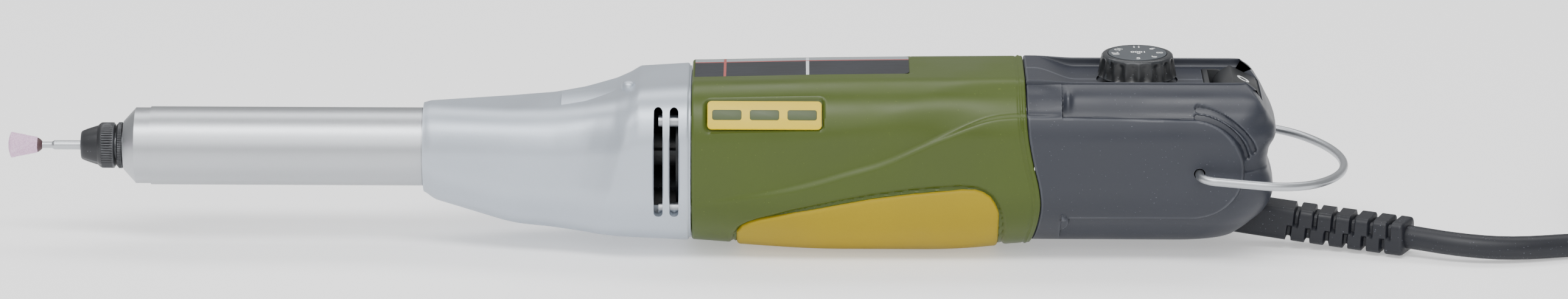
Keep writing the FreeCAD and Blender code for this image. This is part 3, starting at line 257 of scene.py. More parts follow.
def grinding_grain():
    """Bonded grain: pink with lighter and darker crystals and small pores."""
    n = Nodes("grinding_grain")
    cells = n.add("ShaderNodeTexVoronoi")
    cells.inputs["Scale"].default_value = 3600
    n.link(n.place, cells.inputs["Vector"])
    base = linear("dcb6d6")
    colour = n.ramp(n.noise(2500, 4, 0.7), [(0.3, shade(base, 0.72)), (0.5, base), (0.75, linear("ecd3e6"))])
    colour = n.mix(n.spread(cells.outputs["Distance"], 0.3, 0, 0.05, 0.5), colour, linear("c391ba"))
    colour = n.mix(n.spread(n.noise(900, 2), 0, 0.25, 0.55, 0.7), colour, linear("f3e2ef"))
    n.link(colour, n.shader.inputs["Base Color"])
    n.shader.inputs["Roughness"].default_value = 0.92
    n.bump(cells.outputs["Distance"], 0.55, 0.00012)
    n.bump(n.noise(5200, 3), 0.4, 0.00006)
    return n.material


MATERIALS = {
    "pink_stone": grinding_grain(),
    "brown_cement": surface("brown_cement", "4a3236", 0.5, grain=3000, depth=0.00008, mottle=0.25, strength=0.5),
    "ground_steel": turned_metal("ground_steel", "b9b6ae", 0.30, 900, (60, 1, 1)),
    "black_oxide": surface("black_oxide", "2c2d30", 0.42, metallic=0.35, grain=2600, depth=0.00004, mottle=0.18,
                           specks=(0.235, "63656a"), edge_lightening=0.5, edge_colour_code="77797e"),
    "bright_steel": turned_metal("bright_steel", "e6ebf2", 0.20, 700, (45, 1, 1), streak=0.10),
    "cast_silver": surface("cast_silver", "b4bcc6", 0.40, metallic=0.55, grain=1500, depth=0.00005, mottle=0.035,
                           strength=0.35, rough_change=0.04, specular=0.6),
    "olive_plastic": surface("olive_plastic", "425018", 0.38, grain=1100, depth=0.00004, mottle=0.05,
                             strength=0.22, specks=(0.23, "62722f"), specular=0.32),
    "mustard_grip": surface("mustard_grip", "9c8612", 0.55, specular=0.25, grain=1500, depth=0.00005, mottle=0.05, strength=0.3),
    "yellow_plate": surface("yellow_plate", "d9bd1e", 0.42, specular=0.35, grain=900, depth=0.00003, mottle=0.05),
    "black_label": label_print(),
    "slate_plastic": surface("slate_plastic", "292c35", 0.40, specular=0.42, grain=1300, depth=0.00005, mottle=0.05,
                             strength=0.32, specks=(0.235, "5c5f68"), edge_lightening=0.3, edge_colour_code="7a7d85"),
    "black_plastic": surface("black_plastic", "16181b", 0.38, grain=1600, depth=0.00004, mottle=0.1,
                             specks=(0.26, "62666c"), edge_lightening=0.3, edge_colour_code="5d6167"),
    "dial_print": surface("dial_print", "44494e", 0.5, grain=1400, depth=0.00003, mottle=0.06),
    "switch_black": surface("switch_black", "1f2124", 0.45, grain=1500, depth=0.00003, mottle=0.07),
    "black_rubber": surface("black_rubber", "191b22", 0.5, specular=0.4, grain=1300, depth=0.00006, mottle=0.1, strength=0.3,
                            specks=(0.26, "5f626c")),
    "nickel": turned_metal("nickel", "7d7464", 0.16, 260, (1, 1, 1), streak=0.3),
    "iron_laminations": turned_metal("iron_laminations", "6f7276", 0.5, 1400, (40, 1, 1)),
    "copper": surface("copper", "b4693c", 0.35, metallic=0.9, grain=1600, depth=0.0001, mottle=0.15, strength=0.6),
    "carbon": surface("carbon", "2a2a2c", 0.7, grain=2600, depth=0.00005, mottle=0.2),
    "brush_brass": turned_metal("brush_brass", "b89a50", 0.35, 500),
    "elastomer": surface("elastomer", "8f3b2e", 0.6, grain=1500, depth=0.00005, mottle=0.1),
    "board_green": surface("board_green", "2f5d3a", 0.4, grain=900, depth=0.00003, mottle=0.1),
    "part_blue": surface("part_blue", "2f4f86", 0.4, grain=900, depth=0.00003, mottle=0.1),
    "zinc": turned_metal("zinc", "b9bcc0", 0.38, 800),
    "pin_nickel": turned_metal("pin_nickel", "c9c6bf", 0.25, 500, (1, 1, 1)),
}
WHITE_PRINT = surface("white_print", "e6e8e8", 0.5, grain=1500, depth=0.00002, mottle=0.03)
DARK_GREEN = surface("dark_green_print", "3c4a20", 0.5, grain=1200, depth=0.00002, mottle=0.06)


def finish(thing, slot, material=None):
    thing.data.materials.clear()
    thing.data.materials.append(material or MATERIALS[slot])
    return thing


# ---------------------------------------------------------------- mesh helpers
def make_object(name, points, faces, body, slot, material=None, smooth=True, sharp_angle=35):
    mesh = bpy.data.meshes.new(name)
    mesh.from_pydata((np.asarray(points, float) * MM).tolist(), [], [tuple(map(int, f)) for f in faces])
    thing = bpy.data.objects.new(name, mesh)
    bpy.context.scene.collection.objects.link(thing)
    tidy = bmesh.new()
    tidy.from_mesh(mesh)
    bmesh.ops.remove_doubles(tidy, verts=tidy.verts, dist=2e-6)
    bmesh.ops.dissolve_degenerate(tidy, dist=1e-6, edges=tidy.edges)
    bmesh.ops.recalc_face_normals(tidy, faces=tidy.faces)
    tidy.to_mesh(mesh)
    tidy.free()
    if smooth:
        mesh.shade_smooth()
        mesh.set_sharp_from_angle(angle=math.radians(sharp_angle))
    finish(thing, slot, material)
    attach(thing, body)
    return thing


def resharpen(thing, angle=35):
    thing.data.shade_smooth()
    thing.data.set_sharp_from_angle(angle=math.radians(angle))


def grid_faces(rows, columns, wrap_rows=False, wrap_columns=True, start=0):
    i = np.arange(rows if wrap_rows else rows - 1)
    j = np.arange(columns if wrap_columns else columns - 1)
    i, j = np.meshgrid(i, j, indexing="ij")
    following, beside = (i + 1) % rows, (j + 1) % columns
    corners = (i * columns + j, following * columns + j, following * columns + beside, i * columns + beside)
    return np.stack([c.ravel() + start for c in corners], 1).tolist()


def ring_shell(name, outer, inner, body, slot, **options):
    """A wall between an outer and an inner tube of rings, closed at both ends."""
    rings = np.concatenate([outer, inner[::-1]])
    return make_object(name, rings.reshape(-1, 3), grid_faces(len(rings), rings.shape[1], wrap_rows=True),
                       body, slot, **options)


def solid_tube(name, rings, body, slot, **options):
    """Rings of points closed with a fan at each end."""
    count, columns = rings.shape[:2]
    points = np.concatenate([rings.reshape(-1, 3), rings[:1].mean(1), rings[-1:].mean(1)])
    faces = grid_faces(count, columns)
    for centre, row in ((count * columns, 0), (count * columns + 1, count - 1)):
        for j in range(columns):
            faces.append([centre, row * columns + j, row * columns + (j + 1) % columns])
    return make_object(name, points, faces, body, slot, **options)


def slab(name, outer, inner, body, slot, **options):
    """A sheet with thickness: two open grids joined round their border."""
    rows, columns = outer.shape[:2]
    points = np.concatenate([outer.reshape(-1, 3), inner.reshape(-1, 3)])
    size = rows * columns
    faces = grid_faces(rows, columns, wrap_columns=False)
    faces += grid_faces(rows, columns, wrap_columns=False, start=size)
    border = [j for j in range(columns)]
    border += [i * columns + columns - 1 for i in range(1, rows)]
    border += [(rows - 1) * columns + j for j in range(columns - 2, -1, -1)]
    border += [i * columns for i in range(rows - 2, 0, -1)]
    for a, b in zip(border, border[1:] + border[:1]):
        faces.append([a, b, b + size, a + size])
    return make_object(name, points, faces, body, slot, **options)


def turned(name, profile, body, slot, count=96, knurls=(), **options):
    """A body of revolution about X from (x, radius) points. A knurl is (from x, to x, ribs, depth)."""
    profile = np.array(profile, float)
    rows = [profile[0]]
    for a, b in zip(profile, profile[1:]):
        ribbed = any(start <= (a[0] + b[0]) / 2 <= end for start, end, _, _ in knurls)
        steps = 6 if ribbed else max(1, int(math.hypot(*(b - a)) / 0.8))
        rows += [a + (b - a) * k / steps for k in range(1, steps + 1)]
    rows = np.array(rows)
    angle = np.linspace(0, 2 * math.pi, count, endpoint=False)
    radius = np.repeat(rows[:, 1:2], count, 1)
    for start, end, ribs, depth in knurls:
        inside = np.clip(np.minimum(rows[:, 0] - start, end - rows[:, 0]) / 0.25, 0, 1)[:, None]
        radius = radius - inside * depth * (0.5 + 0.5 * np.cos(ribs * angle))[None, :] ** 1.5
    rings = np.stack([np.repeat(rows[:, :1], count, 1), radius * np.cos(angle), radius * np.sin(angle)], 2)
    closed = abs(profile[0] - profile[-1]).max() < 1e-9
    if closed:
        rings = rings[:-1]
        return make_object(name, rings.reshape(-1, 3), grid_faces(len(rings), count, wrap_rows=True), body, slot,
                           **options)
    return solid_tube(name, rings, body, slot, **options)


def soft(points, x, width):
    """A run of straight lines through the points, its corners rounded over the width."""
    xs, ys = zip(*points)
    steps = np.linspace(-0.5, 0.5, 9) * width
    return sum(np.interp(np.asarray(x) + step, xs, ys) for step in steps) / len(steps)


def smooth_step(value, low, high):
    t = np.clip((np.asarray(value, float) - low) / (high - low), 0, 1)
    return t * t * (3 - 2 * t)


def bell(value, width):
    return np.exp(-(np.asarray(value) / width) ** 2)


def boolean(thing, cutter, kind="DIFFERENCE"):
    """Cuts with a mesh that is then thrown away, and leaves a plain mesh."""
    change = thing.modifiers.new("cut", "BOOLEAN")
    change.object, change.operation, change.solver = cutter, kind, "MANIFOLD"
    apply_modifiers(thing)
    bpy.data.objects.remove(cutter)


def apply_modifiers(thing):
    bpy.context.view_layer.update()
    graph = bpy.context.evaluated_depsgraph_get()
    fresh = bpy.data.meshes.new_from_object(thing.evaluated_get(graph))
    materials = list(thing.data.materials)
    thing.modifiers.clear()
    old, thing.data = thing.data, fresh
    thing.data.materials.clear()
    for material in materials:
        thing.data.materials.append(material)
    bpy.data.meshes.remove(old)


def loose(name, points, faces):
    """A mesh used only to cut with."""
    mesh = bpy.data.meshes.new(name)
    mesh.from_pydata((np.asarray(points, float) * MM).tolist(), [], [tuple(map(int, f)) for f in faces])
    thing = bpy.data.objects.new(name, mesh)
    bpy.context.scene.collection.objects.link(thing)
    tidy = bmesh.new()
    tidy.from_mesh(mesh)
    bmesh.ops.recalc_face_normals(tidy, faces=tidy.faces)
    tidy.to_mesh(mesh)
    tidy.free()
    return thing


def prism(name, outline, low, high, axis):
    """An outline extruded along Y or Z. The outline is (x, z) points along Y and (x, y) points along Z."""
    order = {"y": lambda p, h: (p[0], h, p[1]), "z": lambda p, h: (p[0], p[1], h)}[axis]
    count = len(outline)
    points = [order(p, low) for p in outline] + [order(p, high) for p in outline]
    faces = [list(range(count)), list(range(count, 2 * count))]
    faces += [[i, (i + 1) % count, (i + 1) % count + count, i + count] for i in range(count)]
    return points, faces


def circle_outline(x, y, radius, count=48):
    return [(x + radius * math.cos(a), y + radius * math.sin(a))
            for a in np.linspace(0, 2 * math.pi, count, endpoint=False)]


def rounded_rectangle(width, height, corner, steps=6, centre=(0, 0)):
    outline = []
    for sx, sy, start in ((1, 1, 0), (-1, 1, 90), (-1, -1, 180), (1, -1, 270)):
        for k in range(steps + 1):
            a = math.radians(start + 90 * k / steps)
            outline.append((centre[0] + sx * (width / 2 - corner) + corner * math.cos(a),
                            centre[1] + sy * (height / 2 - corner) + corner * math.sin(a)))
    return outline


def half_profile(half, top, bottom, upper, lower, counts):
    """Half a rounded section at each station, from the bottom centre up the near side to the top centre.
    Gives y, z and the outward directions, each stations x points."""
    half, top, bottom, upper, lower = [np.atleast_1d(np.asarray(v, float))[:, None] for v in
                                       np.broadcast_arrays(half, top, bottom, upper, lower)]
    zero = np.zeros_like(half)
    y, z, ny, nz = [], [], [], []

    def straight(y0, z0, y1, z1, direction, count):
        t = np.linspace(0, 1, count, endpoint=False)[None, :]
        y.append(y0 + (y1 - y0) * t), z.append(z0 + (z1 - z0) * t)
        ny.append(zero + direction[0] + 0 * t), nz.append(zero + direction[1] + 0 * t)

    def arc(cy, cz, radius, start, count):
        a = (start + np.linspace(0, 90, count, endpoint=False))[None, :] * math.pi / 180
        y.append(cy - radius * np.sin(a)), z.append(cz - radius * np.cos(a))
        ny.append(zero - np.sin(a)), nz.append(zero - np.cos(a))

    straight(zero, -bottom, lower - half, -bottom, (0, -1), counts[0])
    arc(lower - half, lower - bottom, lower, 0, counts[1])
    straight(-half, lower - bottom, -half, top - upper, (-1, 0), counts[2])
    arc(upper - half, top - upper, upper, 90, counts[3])
    straight(upper - half, top, zero, top, (0, 1), counts[4])
    y.append(zero), z.append(top), ny.append(zero), nz.append(zero + 1)
    return [np.concatenate(parts, 1) for parts in (y, z, ny, nz)]


def whole_ring(x, y, z):
    """Both halves of a section from its near half; the two centre points aren't repeated."""
    near = np.stack([x, y, z], 2)
    far = near[:, -2:0:-1] * np.array([1, -1, 1])
    return np.concatenate([near, far], 1)


# ---------------------------------------------------------------- cord, coil and plug
CORD_D = 6.0
BOOT_END = (285.600, -10.175, -19.866)
BOOT_HEADING = (0.90631, -0.42262, 0.0)
FREE_ROUTE = ((297.4, -15.7, -20.4), (311.4, -16.4, -21.3), (330.3, -9.9, -21.8), (344, -8.6, -21.8), (360, -13.4, -21.8),
              (371, -15.6, -21.8))
COIL_X, COIL_Y, COIL_LAYERS = 380.0, 26.0, (-21.8, -15.8, -9.8)
PLUG_ENTRY, PLUG_HEADING = (366.8, -0.8, 0.05), (1.0, 0.0)
TAIL_BEND, TAIL_START = 22.0, 200.0


def coil_points():
    """Turns side by side in three layers: in, out and in again, stepping over at the end of each turn."""
    steps = 20
    turns = [(42, 0), (36, 0), (30, 0), (30, 1), (36, 1), (42, 1), (42, 2), (36, 2)]
    points = []
    total = round(steps * 7.736)
    for k in range(total + 1):
        turn = min(k // steps, 7)
        share = (k - turn * steps) / steps
        radius, layer = turns[turn]
        height = COIL_LAYERS[layer]
        if turn < 7:
            step = float(smooth_step(share, 0.78, 1.0))
            radius += (turns[turn + 1][0] - radius) * step
            height += (COIL_LAYERS[turns[turn + 1][1]] - height) * step
        angle = math.radians(270 + 360 * k / steps)
        reach = radius / math.cos(math.pi / steps) ** 0.5
        points.append((COIL_X + reach * math.cos(angle), COIL_Y + reach * math.sin(angle), height))
    return points


def make_cord():
    inside = tuple(e - 6 * h for e, h in zip(BOOT_END, BOOT_HEADING))
    route = [inside, BOOT_END, *FREE_ROUTE, *coil_points()]
    start = math.radians(TAIL_START)
    middle = (PLUG_ENTRY[0], PLUG_ENTRY[1] + TAIL_BEND)
    route.append((COIL_X + 36 * math.cos(start - 0.2), COIL_Y + 36 * math.sin(start - 0.2), -9.0))
    for k in range(1, 8):
        a = start + (math.radians(270) - start) * k / 7
        route.append((middle[0] + TAIL_BEND * math.cos(a), middle[1] + TAIL_BEND * math.sin(a),
                      -8.4 + (PLUG_ENTRY[2] + 8.4) * float(smooth_step(k, 0, 6.5))))
    route.append((PLUG_ENTRY[0] + 7, PLUG_ENTRY[1], PLUG_ENTRY[2]))
    curve = bpy.data.curves.new("mains_lead", "CURVE")
    curve.dimensions = "3D"
    spline = curve.splines.new("NURBS")
    spline.points.add(len(route) - 1)
    for point, place in zip(spline.points, route):
        point.co = (*[c * MM for c in place], 1)
    spline.order_u, spline.use_endpoint_u, spline.resolution_u = 3, True, 4
    curve.bevel_depth, curve.bevel_resolution, curve.use_fill_caps = CORD_D * MM / 2, 5, True
    lead = bpy.data.objects.new("mains_lead", curve)
    bpy.context.scene.collection.objects.link(lead)
    finish(lead, "black_rubber")
    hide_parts("mains_cord", "cord_coil", "cord_tail")
    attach(lead, "housing")
    return lead


def make_plug():
    """A flat two-pin plug: a round neck swells into a waisted oval body with grip ribs."""
    entry = np.array(PLUG_ENTRY)
    u = np.concatenate([np.linspace(0, 34.6, 70), [35.2, 35.7, 36.0, 36.0, 35.4, 35.4]])
    width = soft([(0, 4.4), (7, 4.9), (13, 15.4), (17, 17.2), (24, 16.4), (30, 17.4), (37, 17.5)], u, 4)
    thick = soft([(0, 4.4), (8, 4.8), (14, 6.5), (37, 6.8)], u, 3)
    width[-6:] += np.array([0, -0.2, -0.8, -3.0, -3.4, -16.5])
    thick[-6:] += np.array([0, -0.2, -0.8, -2.4, -2.8, -6.3])
    a = np.linspace(0, 2 * math.pi, 96, endpoint=False)[None, :]
    power = (1.0 - 0.35 * smooth_step(u, 6, 15))[:, None]
    y = width[:, None] * np.sign(np.cos(a)) * abs(np.cos(a)) ** power
    z = thick[:, None] * np.sign(np.sin(a)) * abs(np.sin(a)) ** power
    grip = (smooth_step(u, 18, 19) * (1 - smooth_step(u, 29, 30)) * (0.5 - 0.5 * np.cos(u * 2 * math.pi / 2.0)))[:, None]
    z = z * (1 - 0.09 * grip * (abs(y) < 11))
    head, side = np.array([*PLUG_HEADING, 0]), np.array([-PLUG_HEADING[1], PLUG_HEADING[0], 0])
    rings = entry + u[:, None, None] * head + y[..., None] * side + z[..., None] * np.array([0, 0, 1])
    plug = solid_tube("mains_plug", rings, "housing", "black_rubber", sharp_angle=40)
    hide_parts("plug_body")
    return plug


def make_tie():
    """A hook-and-loop strap round the coil's far side."""
    near, far, low, high = COIL_Y + 27, COIL_Y + 45, FLOOR_Z, FLOOR_Z + 18
    outline = np.array(rounded_rectangle(far - near + 0.9, high - low + 0.1, 2.6, 8, ((near + far) / 2, (low + high) / 2 + 0.45)))
    away = outline - outline.mean(0)
    away /= np.linalg.norm(away, axis=1)[:, None]
    rows = []
    for across, out in ((-4.5, 0.05), (-4.3, 0.35), (4.3, 0.35), (4.5, 0.05), (4.3, -0.25), (-4.3, -0.25)):
        ring = outline + away * out
        rows.append(np.column_stack([np.full(len(ring), COIL_X + across), ring]))
    rings = np.array(rows)
    tie = make_object("coil_strap", rings.reshape(-1, 3), grid_faces(len(rings), rings.shape[1], wrap_rows=True),
                      "housing", "black_rubber")
    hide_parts("cord_tie")
    return tie


lead = make_cord()
plug = make_plug()
tie = make_tie()


# ---------------------------------------------------------------- strain relief boot
def make_boot():
    a, b, c = [np.array(p, float) for p in ((240, 0, -16.1), (263.780, 0, -19.866), BOOT_END)]
    root = np.array([226, 0, -13.883])
    t = np.linspace(0, 1, 190)[:, None]
    line = np.concatenate([root + (a - root) * np.linspace(0, 1, 30, endpoint=False)[:, None],
                           a * (1 - t) ** 2 + 2 * b * t * (1 - t) + c * t * t])
    along = np.gradient(line, axis=0)
    along /= np.linalg.norm(along, axis=1)[:, None]
    side = np.cross(along, [0, 0, 1.0])
    side /= np.linalg.norm(side, axis=1)[:, None]
    up = np.cross(side, along)
    length = np.concatenate([[0], np.cumsum(np.linalg.norm(np.diff(line, axis=0), axis=1))])
    left = length[-1] - length
    outline = []
    for sx, sz, start in ((1, 1, 0), (-1, 1, 90), (-1, -1, 180), (1, -1, 270)):
        for k in range(5):
            q = math.radians(start + 90 * k / 4)
            outline.append((sx * 3.3 + 1.5 * math.cos(q), sz * 2.8 + 1.5 * math.sin(q)))
    dense = []
    for (y0, z0), (y1, z1) in zip(outline, outline[1:] + outline[:1]):
        steps = max(1, int(math.hypot(y1 - y0, z1 - z0) / 0.45))
        dense += [(y0 + (y1 - y0) * k / steps, z0 + (z1 - z0) * k / steps) for k in range(steps)]
    section = np.array(dense)
    y, z = section[:, 0][None, :], section[:, 1][None, :]
    inset = np.zeros((len(line), len(section)))
    for k in range(6):
        at = 3.9 + 5.05 * k
        upper = (1 - smooth_step(abs(left - at), 0.42, 0.75))[:, None] * smooth_step(z, -0.2, 0.25)
        lower = (1 - smooth_step(abs(left - at - 1.6), 0.42, 0.75))[:, None] * smooth_step(-z, 0.2, 0.65)
        inset = np.maximum(inset, np.maximum(upper, lower))
    reach = np.hypot(y, z)
    shrink = 1 - inset * (1.35 / reach)
    end_round = 1 - 0.12 * (1 - np.sqrt(np.clip(1 - (1 - np.clip(left / 1.0, 0, 1)) ** 2, 0, 1)))[:, None]
    parting = 1 - 0.012 * bell(z + 0.1, 0.14) * (abs(y) > 4)
    shrink = shrink * end_round * parting
    rings = line[:, None, :] + (y * shrink)[..., None] * side[:, None, :] + (z * shrink)[..., None] * up[:, None, :]
    boot = solid_tube("strain_relief", rings, "housing", "black_rubber", sharp_angle=45)
    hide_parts("cord_boot")


make_boot()


# ---------------------------------------------------------------- tip: stone, cement, nut and ring
def make_tip():
    dome = [(-71.1 + 0.7 * (r / 3.2) ** 2, r) for r in np.linspace(0, 3.2, 9)]
    cone = [(-70.3 + 6.6 * k / 30, 3.27 - 1.32 * k / 30) for k in range(31)]
    profile = np.array(dome + cone + [(-63.65, 1.8), (-63.7, 0.9), (-64.2, 0.83)])
    count = 110
    angle = np.linspace(0, 2 * math.pi, count, endpoint=False)
    rough = random.normal(0, 1, (len(profile), count))
    rough = (rough + np.roll(rough, 1, 1) + np.roll(rough, 1, 0)) / 3
    reach = profile[:, 1:2] + 0.045 * rough * np.clip(profile[:, 1:2] / 1.5, 0, 1)
    reach[profile[:, 0] > -63.72] = profile[profile[:, 0] > -63.72, 1:2] + 0 * angle
    rings = np.stack([profile[:, :1] + 0.03 * np.roll(rough, 3, 1), reach * np.cos(angle), reach * np.sin(angle)], 2)
    stone = solid_tube("stone", rings, "mounted_point", "pink_stone", sharp_angle=60)
    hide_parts("grinding_stone")
    cement = turned("cement_bead", [(-63.75, 0.83), (-63.72, 1.85), (-63.4, 1.78), (-63.0, 1.5), (-62.6, 1.12),
                                    (-62.45, 0.83), (-63.75, 0.83)], "mounted_point", "brown_cement", 48)
    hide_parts("stone_cement")
    nut = turned("nut", [
        (-51.45, 1.6), (-52.35, 1.6), (-52.5, 1.8), (-52.5, 3.3), (-52.3, 3.6), (-51.9, 3.8), (-50.9, 4.2),
        (-48.6, 4.95), (-48.2, 5.05), (-47.6, 5.62), (-47.2, 5.8), (-47.0, 5.85), (-44.2, 5.85), (-44.05, 5.8),
        (-43.72, 5.3), (-43.7, 5.1), (-43.7, 3.55), (-49.3, 3.55), (-49.6, 3.03), (-51.45, 2.05), (-51.45, 1.6),
    ], "nut_unit", "black_oxide", 324, [(-47.15, -44.3, 54, 0.24)], sharp_angle=28)
    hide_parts("collet_nut")
    ring = turned("knurled_ring", [
        (-43.4, 4.0), (-43.4, 5.3), (-43.0, 5.75), (-42.9, 5.9), (-42.0, 5.9), (-41.9, 5.8), (-41.9, 4.0), (-43.4, 4.0),
    ], "spindle_unit", "black_oxide", 320, [(-43.2, -41.95, 80, 0.16)], sharp_angle=28)
    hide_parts("spindle_ring")


make_tip()


# ---------------------------------------------------------------- die-cast head
HEAD_WIDTH = ((30, 11.2), (34.9, 11.3), (36.9, 11.9), (57, 15.7), (68, 17.5), (76, 19.3), (80.5, 20.8), (84.3, 22.5),
              (90, 22.6), (110, 22.6))
HEAD_TOP = ((30, 11.2), (34.9, 11.2), (36.4, 11.65), (57, 11.95), (68, 12.5), (76, 13.7), (84, 15.6), (87.5, 17.1),
            (90.1, 18.7), (102.6, 19.5), (110, 19.5))
HEAD_BOTTOM = ((30, 11.2), (34.9, 11.2), (37.6, 13.3), (55, 18.1), (59.5, 19.0), (68, 19.8), (80, 20.9), (90, 21.6),
               (102.6, 22.3), (110, 22.3))
SLOTS = ((93.8, 96.1), (97.8, 100.1))
SLOT_LOW, SLOT_HIGH = -12.5, 15.7


def make_head():
    x = np.concatenate([np.linspace(34.9, 38.5, 13), np.linspace(39.1, 102.2, 118), [102.45, 102.6]])
    half, top, bottom = soft(HEAD_WIDTH, x, 1.6), soft(HEAD_TOP, x, 1.2), soft(HEAD_BOTTOM, x, 2.2)
    top = np.where(x > 88, soft(HEAD_TOP, x, 0.5), top)
    upper = soft(((34.9, 11.0), (37, 11.1), (57, 10.6), (68, 10.8), (80, 11.6), (90, 13), (110, 13)), x, 3)
    lower = soft(((34.9, 11.0), (37, 11.4), (57, 13), (68, 15), (80, 16), (90, 17), (110, 18)), x, 3)
    upper, lower = np.minimum(upper, half - 0.1), np.minimum(lower, half - 0.1)
    counts = (6, 34, 30, 34, 10)
    y, z, ny, nz = half_profile(half, top, bottom, upper, lower, counts)
    lean = 0.248 * smooth_step(x, 56, 76)[:, None]
    stations = x[:, None] + 0 * z
    wide = soft(HEAD_WIDTH, stations - lean * z, 1.1)
    y = y * wide / soft(HEAD_WIDTH, stations, 1.1)
    dish = 1.1 * bell(stations - lean * z - 76.5, 6.5) * smooth_step(-ny, 0.5, 0.98)
    y = y + dish * 0.45
    edge = 0.25 * smooth_step(x, 102.2, 102.6)[:, None]
    y, z = y * (1 - edge / 22), z * (1 - edge / 20)
    outer = whole_ring(stations, y, z)
    lip_x = np.array([102.62, 103.1])
    ly, lz, _, _ = half_profile([22.0, 22.0], [18.8, 18.8], [21.7, 21.7], [12.5, 12.5], [17.4, 17.4], counts)
    lip = whole_ring(lip_x[:, None] + 0 * lz, ly, lz)

    def bore(at, radius):
        by, bz, _, _ = half_profile([radius], [radius], [radius], [radius * 0.999], [radius * 0.999], counts)
        return whole_ring(np.array([[at]]) + 0 * bz, by, bz)

    cy, cz, _, _ = half_profile([19.8] * 2, [16.9] * 2, [19.6] * 2, [11, 11], [15.6, 15.6], counts)
    cavity = whole_ring(np.array([[91.6], [103.1]]) + 0 * cz, cy, cz)
    inner = np.concatenate([bore(34.9, 10.05), bore(48.3, 10.05), bore(48.4, 9.45), bore(70.0, 9.45), bore(70.1, 14.2),
                            bore(91.5, 16.4), cavity])
    head = ring_shell("head", np.concatenate([outer, lip]), inner, "housing", "cast_silver", sharp_angle=38)
    for start, end in SLOTS:
        middle, half_width = (start + end) / 2, (end - start) / 2
        for side in (-1, 1):
            rings = []
            for depth, extra in ((27.0, 1.6), (22.75, 0.42), (22.25, 0.0), (14.0, -0.1)):
                r = half_width + extra
                pts = []
                for k in range(25):
                    a = math.pi * k / 24
                    pts.append((middle + r * math.cos(a), SLOT_HIGH - half_width + r * math.sin(a)))
                for k in range(25):
                    a = math.pi + math.pi * k / 24
                    pts.append((middle + r * math.cos(a), SLOT_LOW + half_width + r * math.sin(a)))
                rings.append([(px, side * depth, pz) for px, pz in pts])
            rings = np.array(rings)
            count = rings.shape[1]
            faces = grid_faces(len(rings), count) + [list(range(count)), list(range(3 * count, 4 * count))]
            boolean(head, loose("slot_cutter", rings.reshape(-1, 3), faces))
    resharpen(head, 38)
    finish(head, "cast_silver")
    boss = turned("casting_boss", [(13.5, 0.01), (13.5, 2.1), (16.2, 1.95), (17.6, 1.75), (18.2, 1.4), (18.5, 0.8),
                                   (18.6, 0.01)], "housing", "cast_silver", 48)
    boss.data.transform(Matrix.Translation((0.0872, -0.0035, 0)) @ Matrix.Rotation(math.radians(-90), 4, "Y"))
    boss.data.update()
    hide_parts("head_casting")


make_head()


# ---------------------------------------------------------------- olive motor housing
SEAM = ((-26, 188.9), (-21.5, 189.6), (-14.2, 191.1), (-9, 191.75), (-3.5, 191.1), (2.3, 189.6), (8, 188.5),
        (13, 187.95), (27, 187.5))
HOUSING_START, HOUSING_HALF = 103.3, 23.0
HOUSING_TOP = ((100, 20.25), (103.3, 20.3), (135, 21.1), (170, 21.6), (188.3, 21.8), (200, 21.8))
HOUSING_BOTTOM = ((100, 22.3), (103.3, 22.6), (122, 24.0), (135, 24.8), (170, 24.8), (188.3, 22.9), (200, 22.4))
RIDGE = ((100, -11), (107.1, -9.1), (122.9, -6.6), (133.2, -4.2), (144.8, -0.6), (151.6, 1.2), (159.2, 4.9),
         (161.8, 6.1), (170.7, 10.3), (176.2, 12.7), (180.6, 13.8), (187, 14.0), (200, 13.8))
RIDGE_HEIGHT = ((104, 0.1), (110, 0.4), (125, 0.7), (145, 0.95), (165, 1.1), (190, 1.25))
PAD_EDGE = ((114.4, -20.6), (115.0, -18.2), (116.2, -16.2), (118.0, -15.0), (120.5, -13.9), (129.2, -11.2), (140.1, -8.6),
            (148.9, -6.8), (159.3, -5.35), (166, -4.7), (171.5, -4.35), (175.0, -4.65), (177.0, -5.5), (178.9, -7.0),
            (180.2, -9.2), (181.0, -11.4), (181.4, -14.0), (181.5, -16.2))
BADGE = (107.2, 136.3)
TOP_RADIUS, BELLY_RADIUS = 13.5, 20.0


def round_the_belly(z):
    """Distance round the section from the bottom centre to height z."""
    z = np.asarray(z, float)
    a = np.arccos(np.clip((-4.8 - z) / 20, -1, 1))
    return np.where(z < -4.8, 3 + 20 * a, 34.4 + (z + 4.8))


PAD_OUTLINE = np.array([(x, float(round_the_belly(z))) for x, z in PAD_EDGE])


def outline_distance(x, s, outline):
    """Distance to a closed outline, negative inside."""
    px, py = x.ravel(), s.ravel()
    best = np.full(px.shape, 1e9)
    inside = np.zeros(px.shape, bool)
    following = np.roll(outline, -1, 0)
    for (ax, ay), (bx, by) in zip(outline, following):
        dx, dy = bx - ax, by - ay
        t = np.clip(((px - ax) * dx + (py - ay) * dy) / (dx * dx + dy * dy), 0, 1)
        best = np.minimum(best, np.hypot(px - ax - t * dx, py - ay - t * dy))
        if dy:
            crosses = ((ay > py) != (by > py)) & (px < ax + (py - ay) * dx / dy)
            inside ^= crosses
    return np.where(inside, -best, best).reshape(x.shape)


def ridge_fold(x, z):
    """How far the flank falls in above its crest line."""
    above = z - soft(RIDGE, x, 9)
    height = np.interp(x, *zip(*RIDGE_HEIGHT))
    return -height * smooth_step(above, -0.1, 1.6) * (1 - 0.75 * smooth_step(above, 3, 13))


def housing_sections(x, counts):
    half = np.full_like(x, HOUSING_HALF)
    return half_profile(half, soft(HOUSING_TOP, x, 12), soft(HOUSING_BOTTOM, x, 14), np.full_like(x, TOP_RADIUS),
                        np.full_like(x, BELLY_RADIUS), counts)


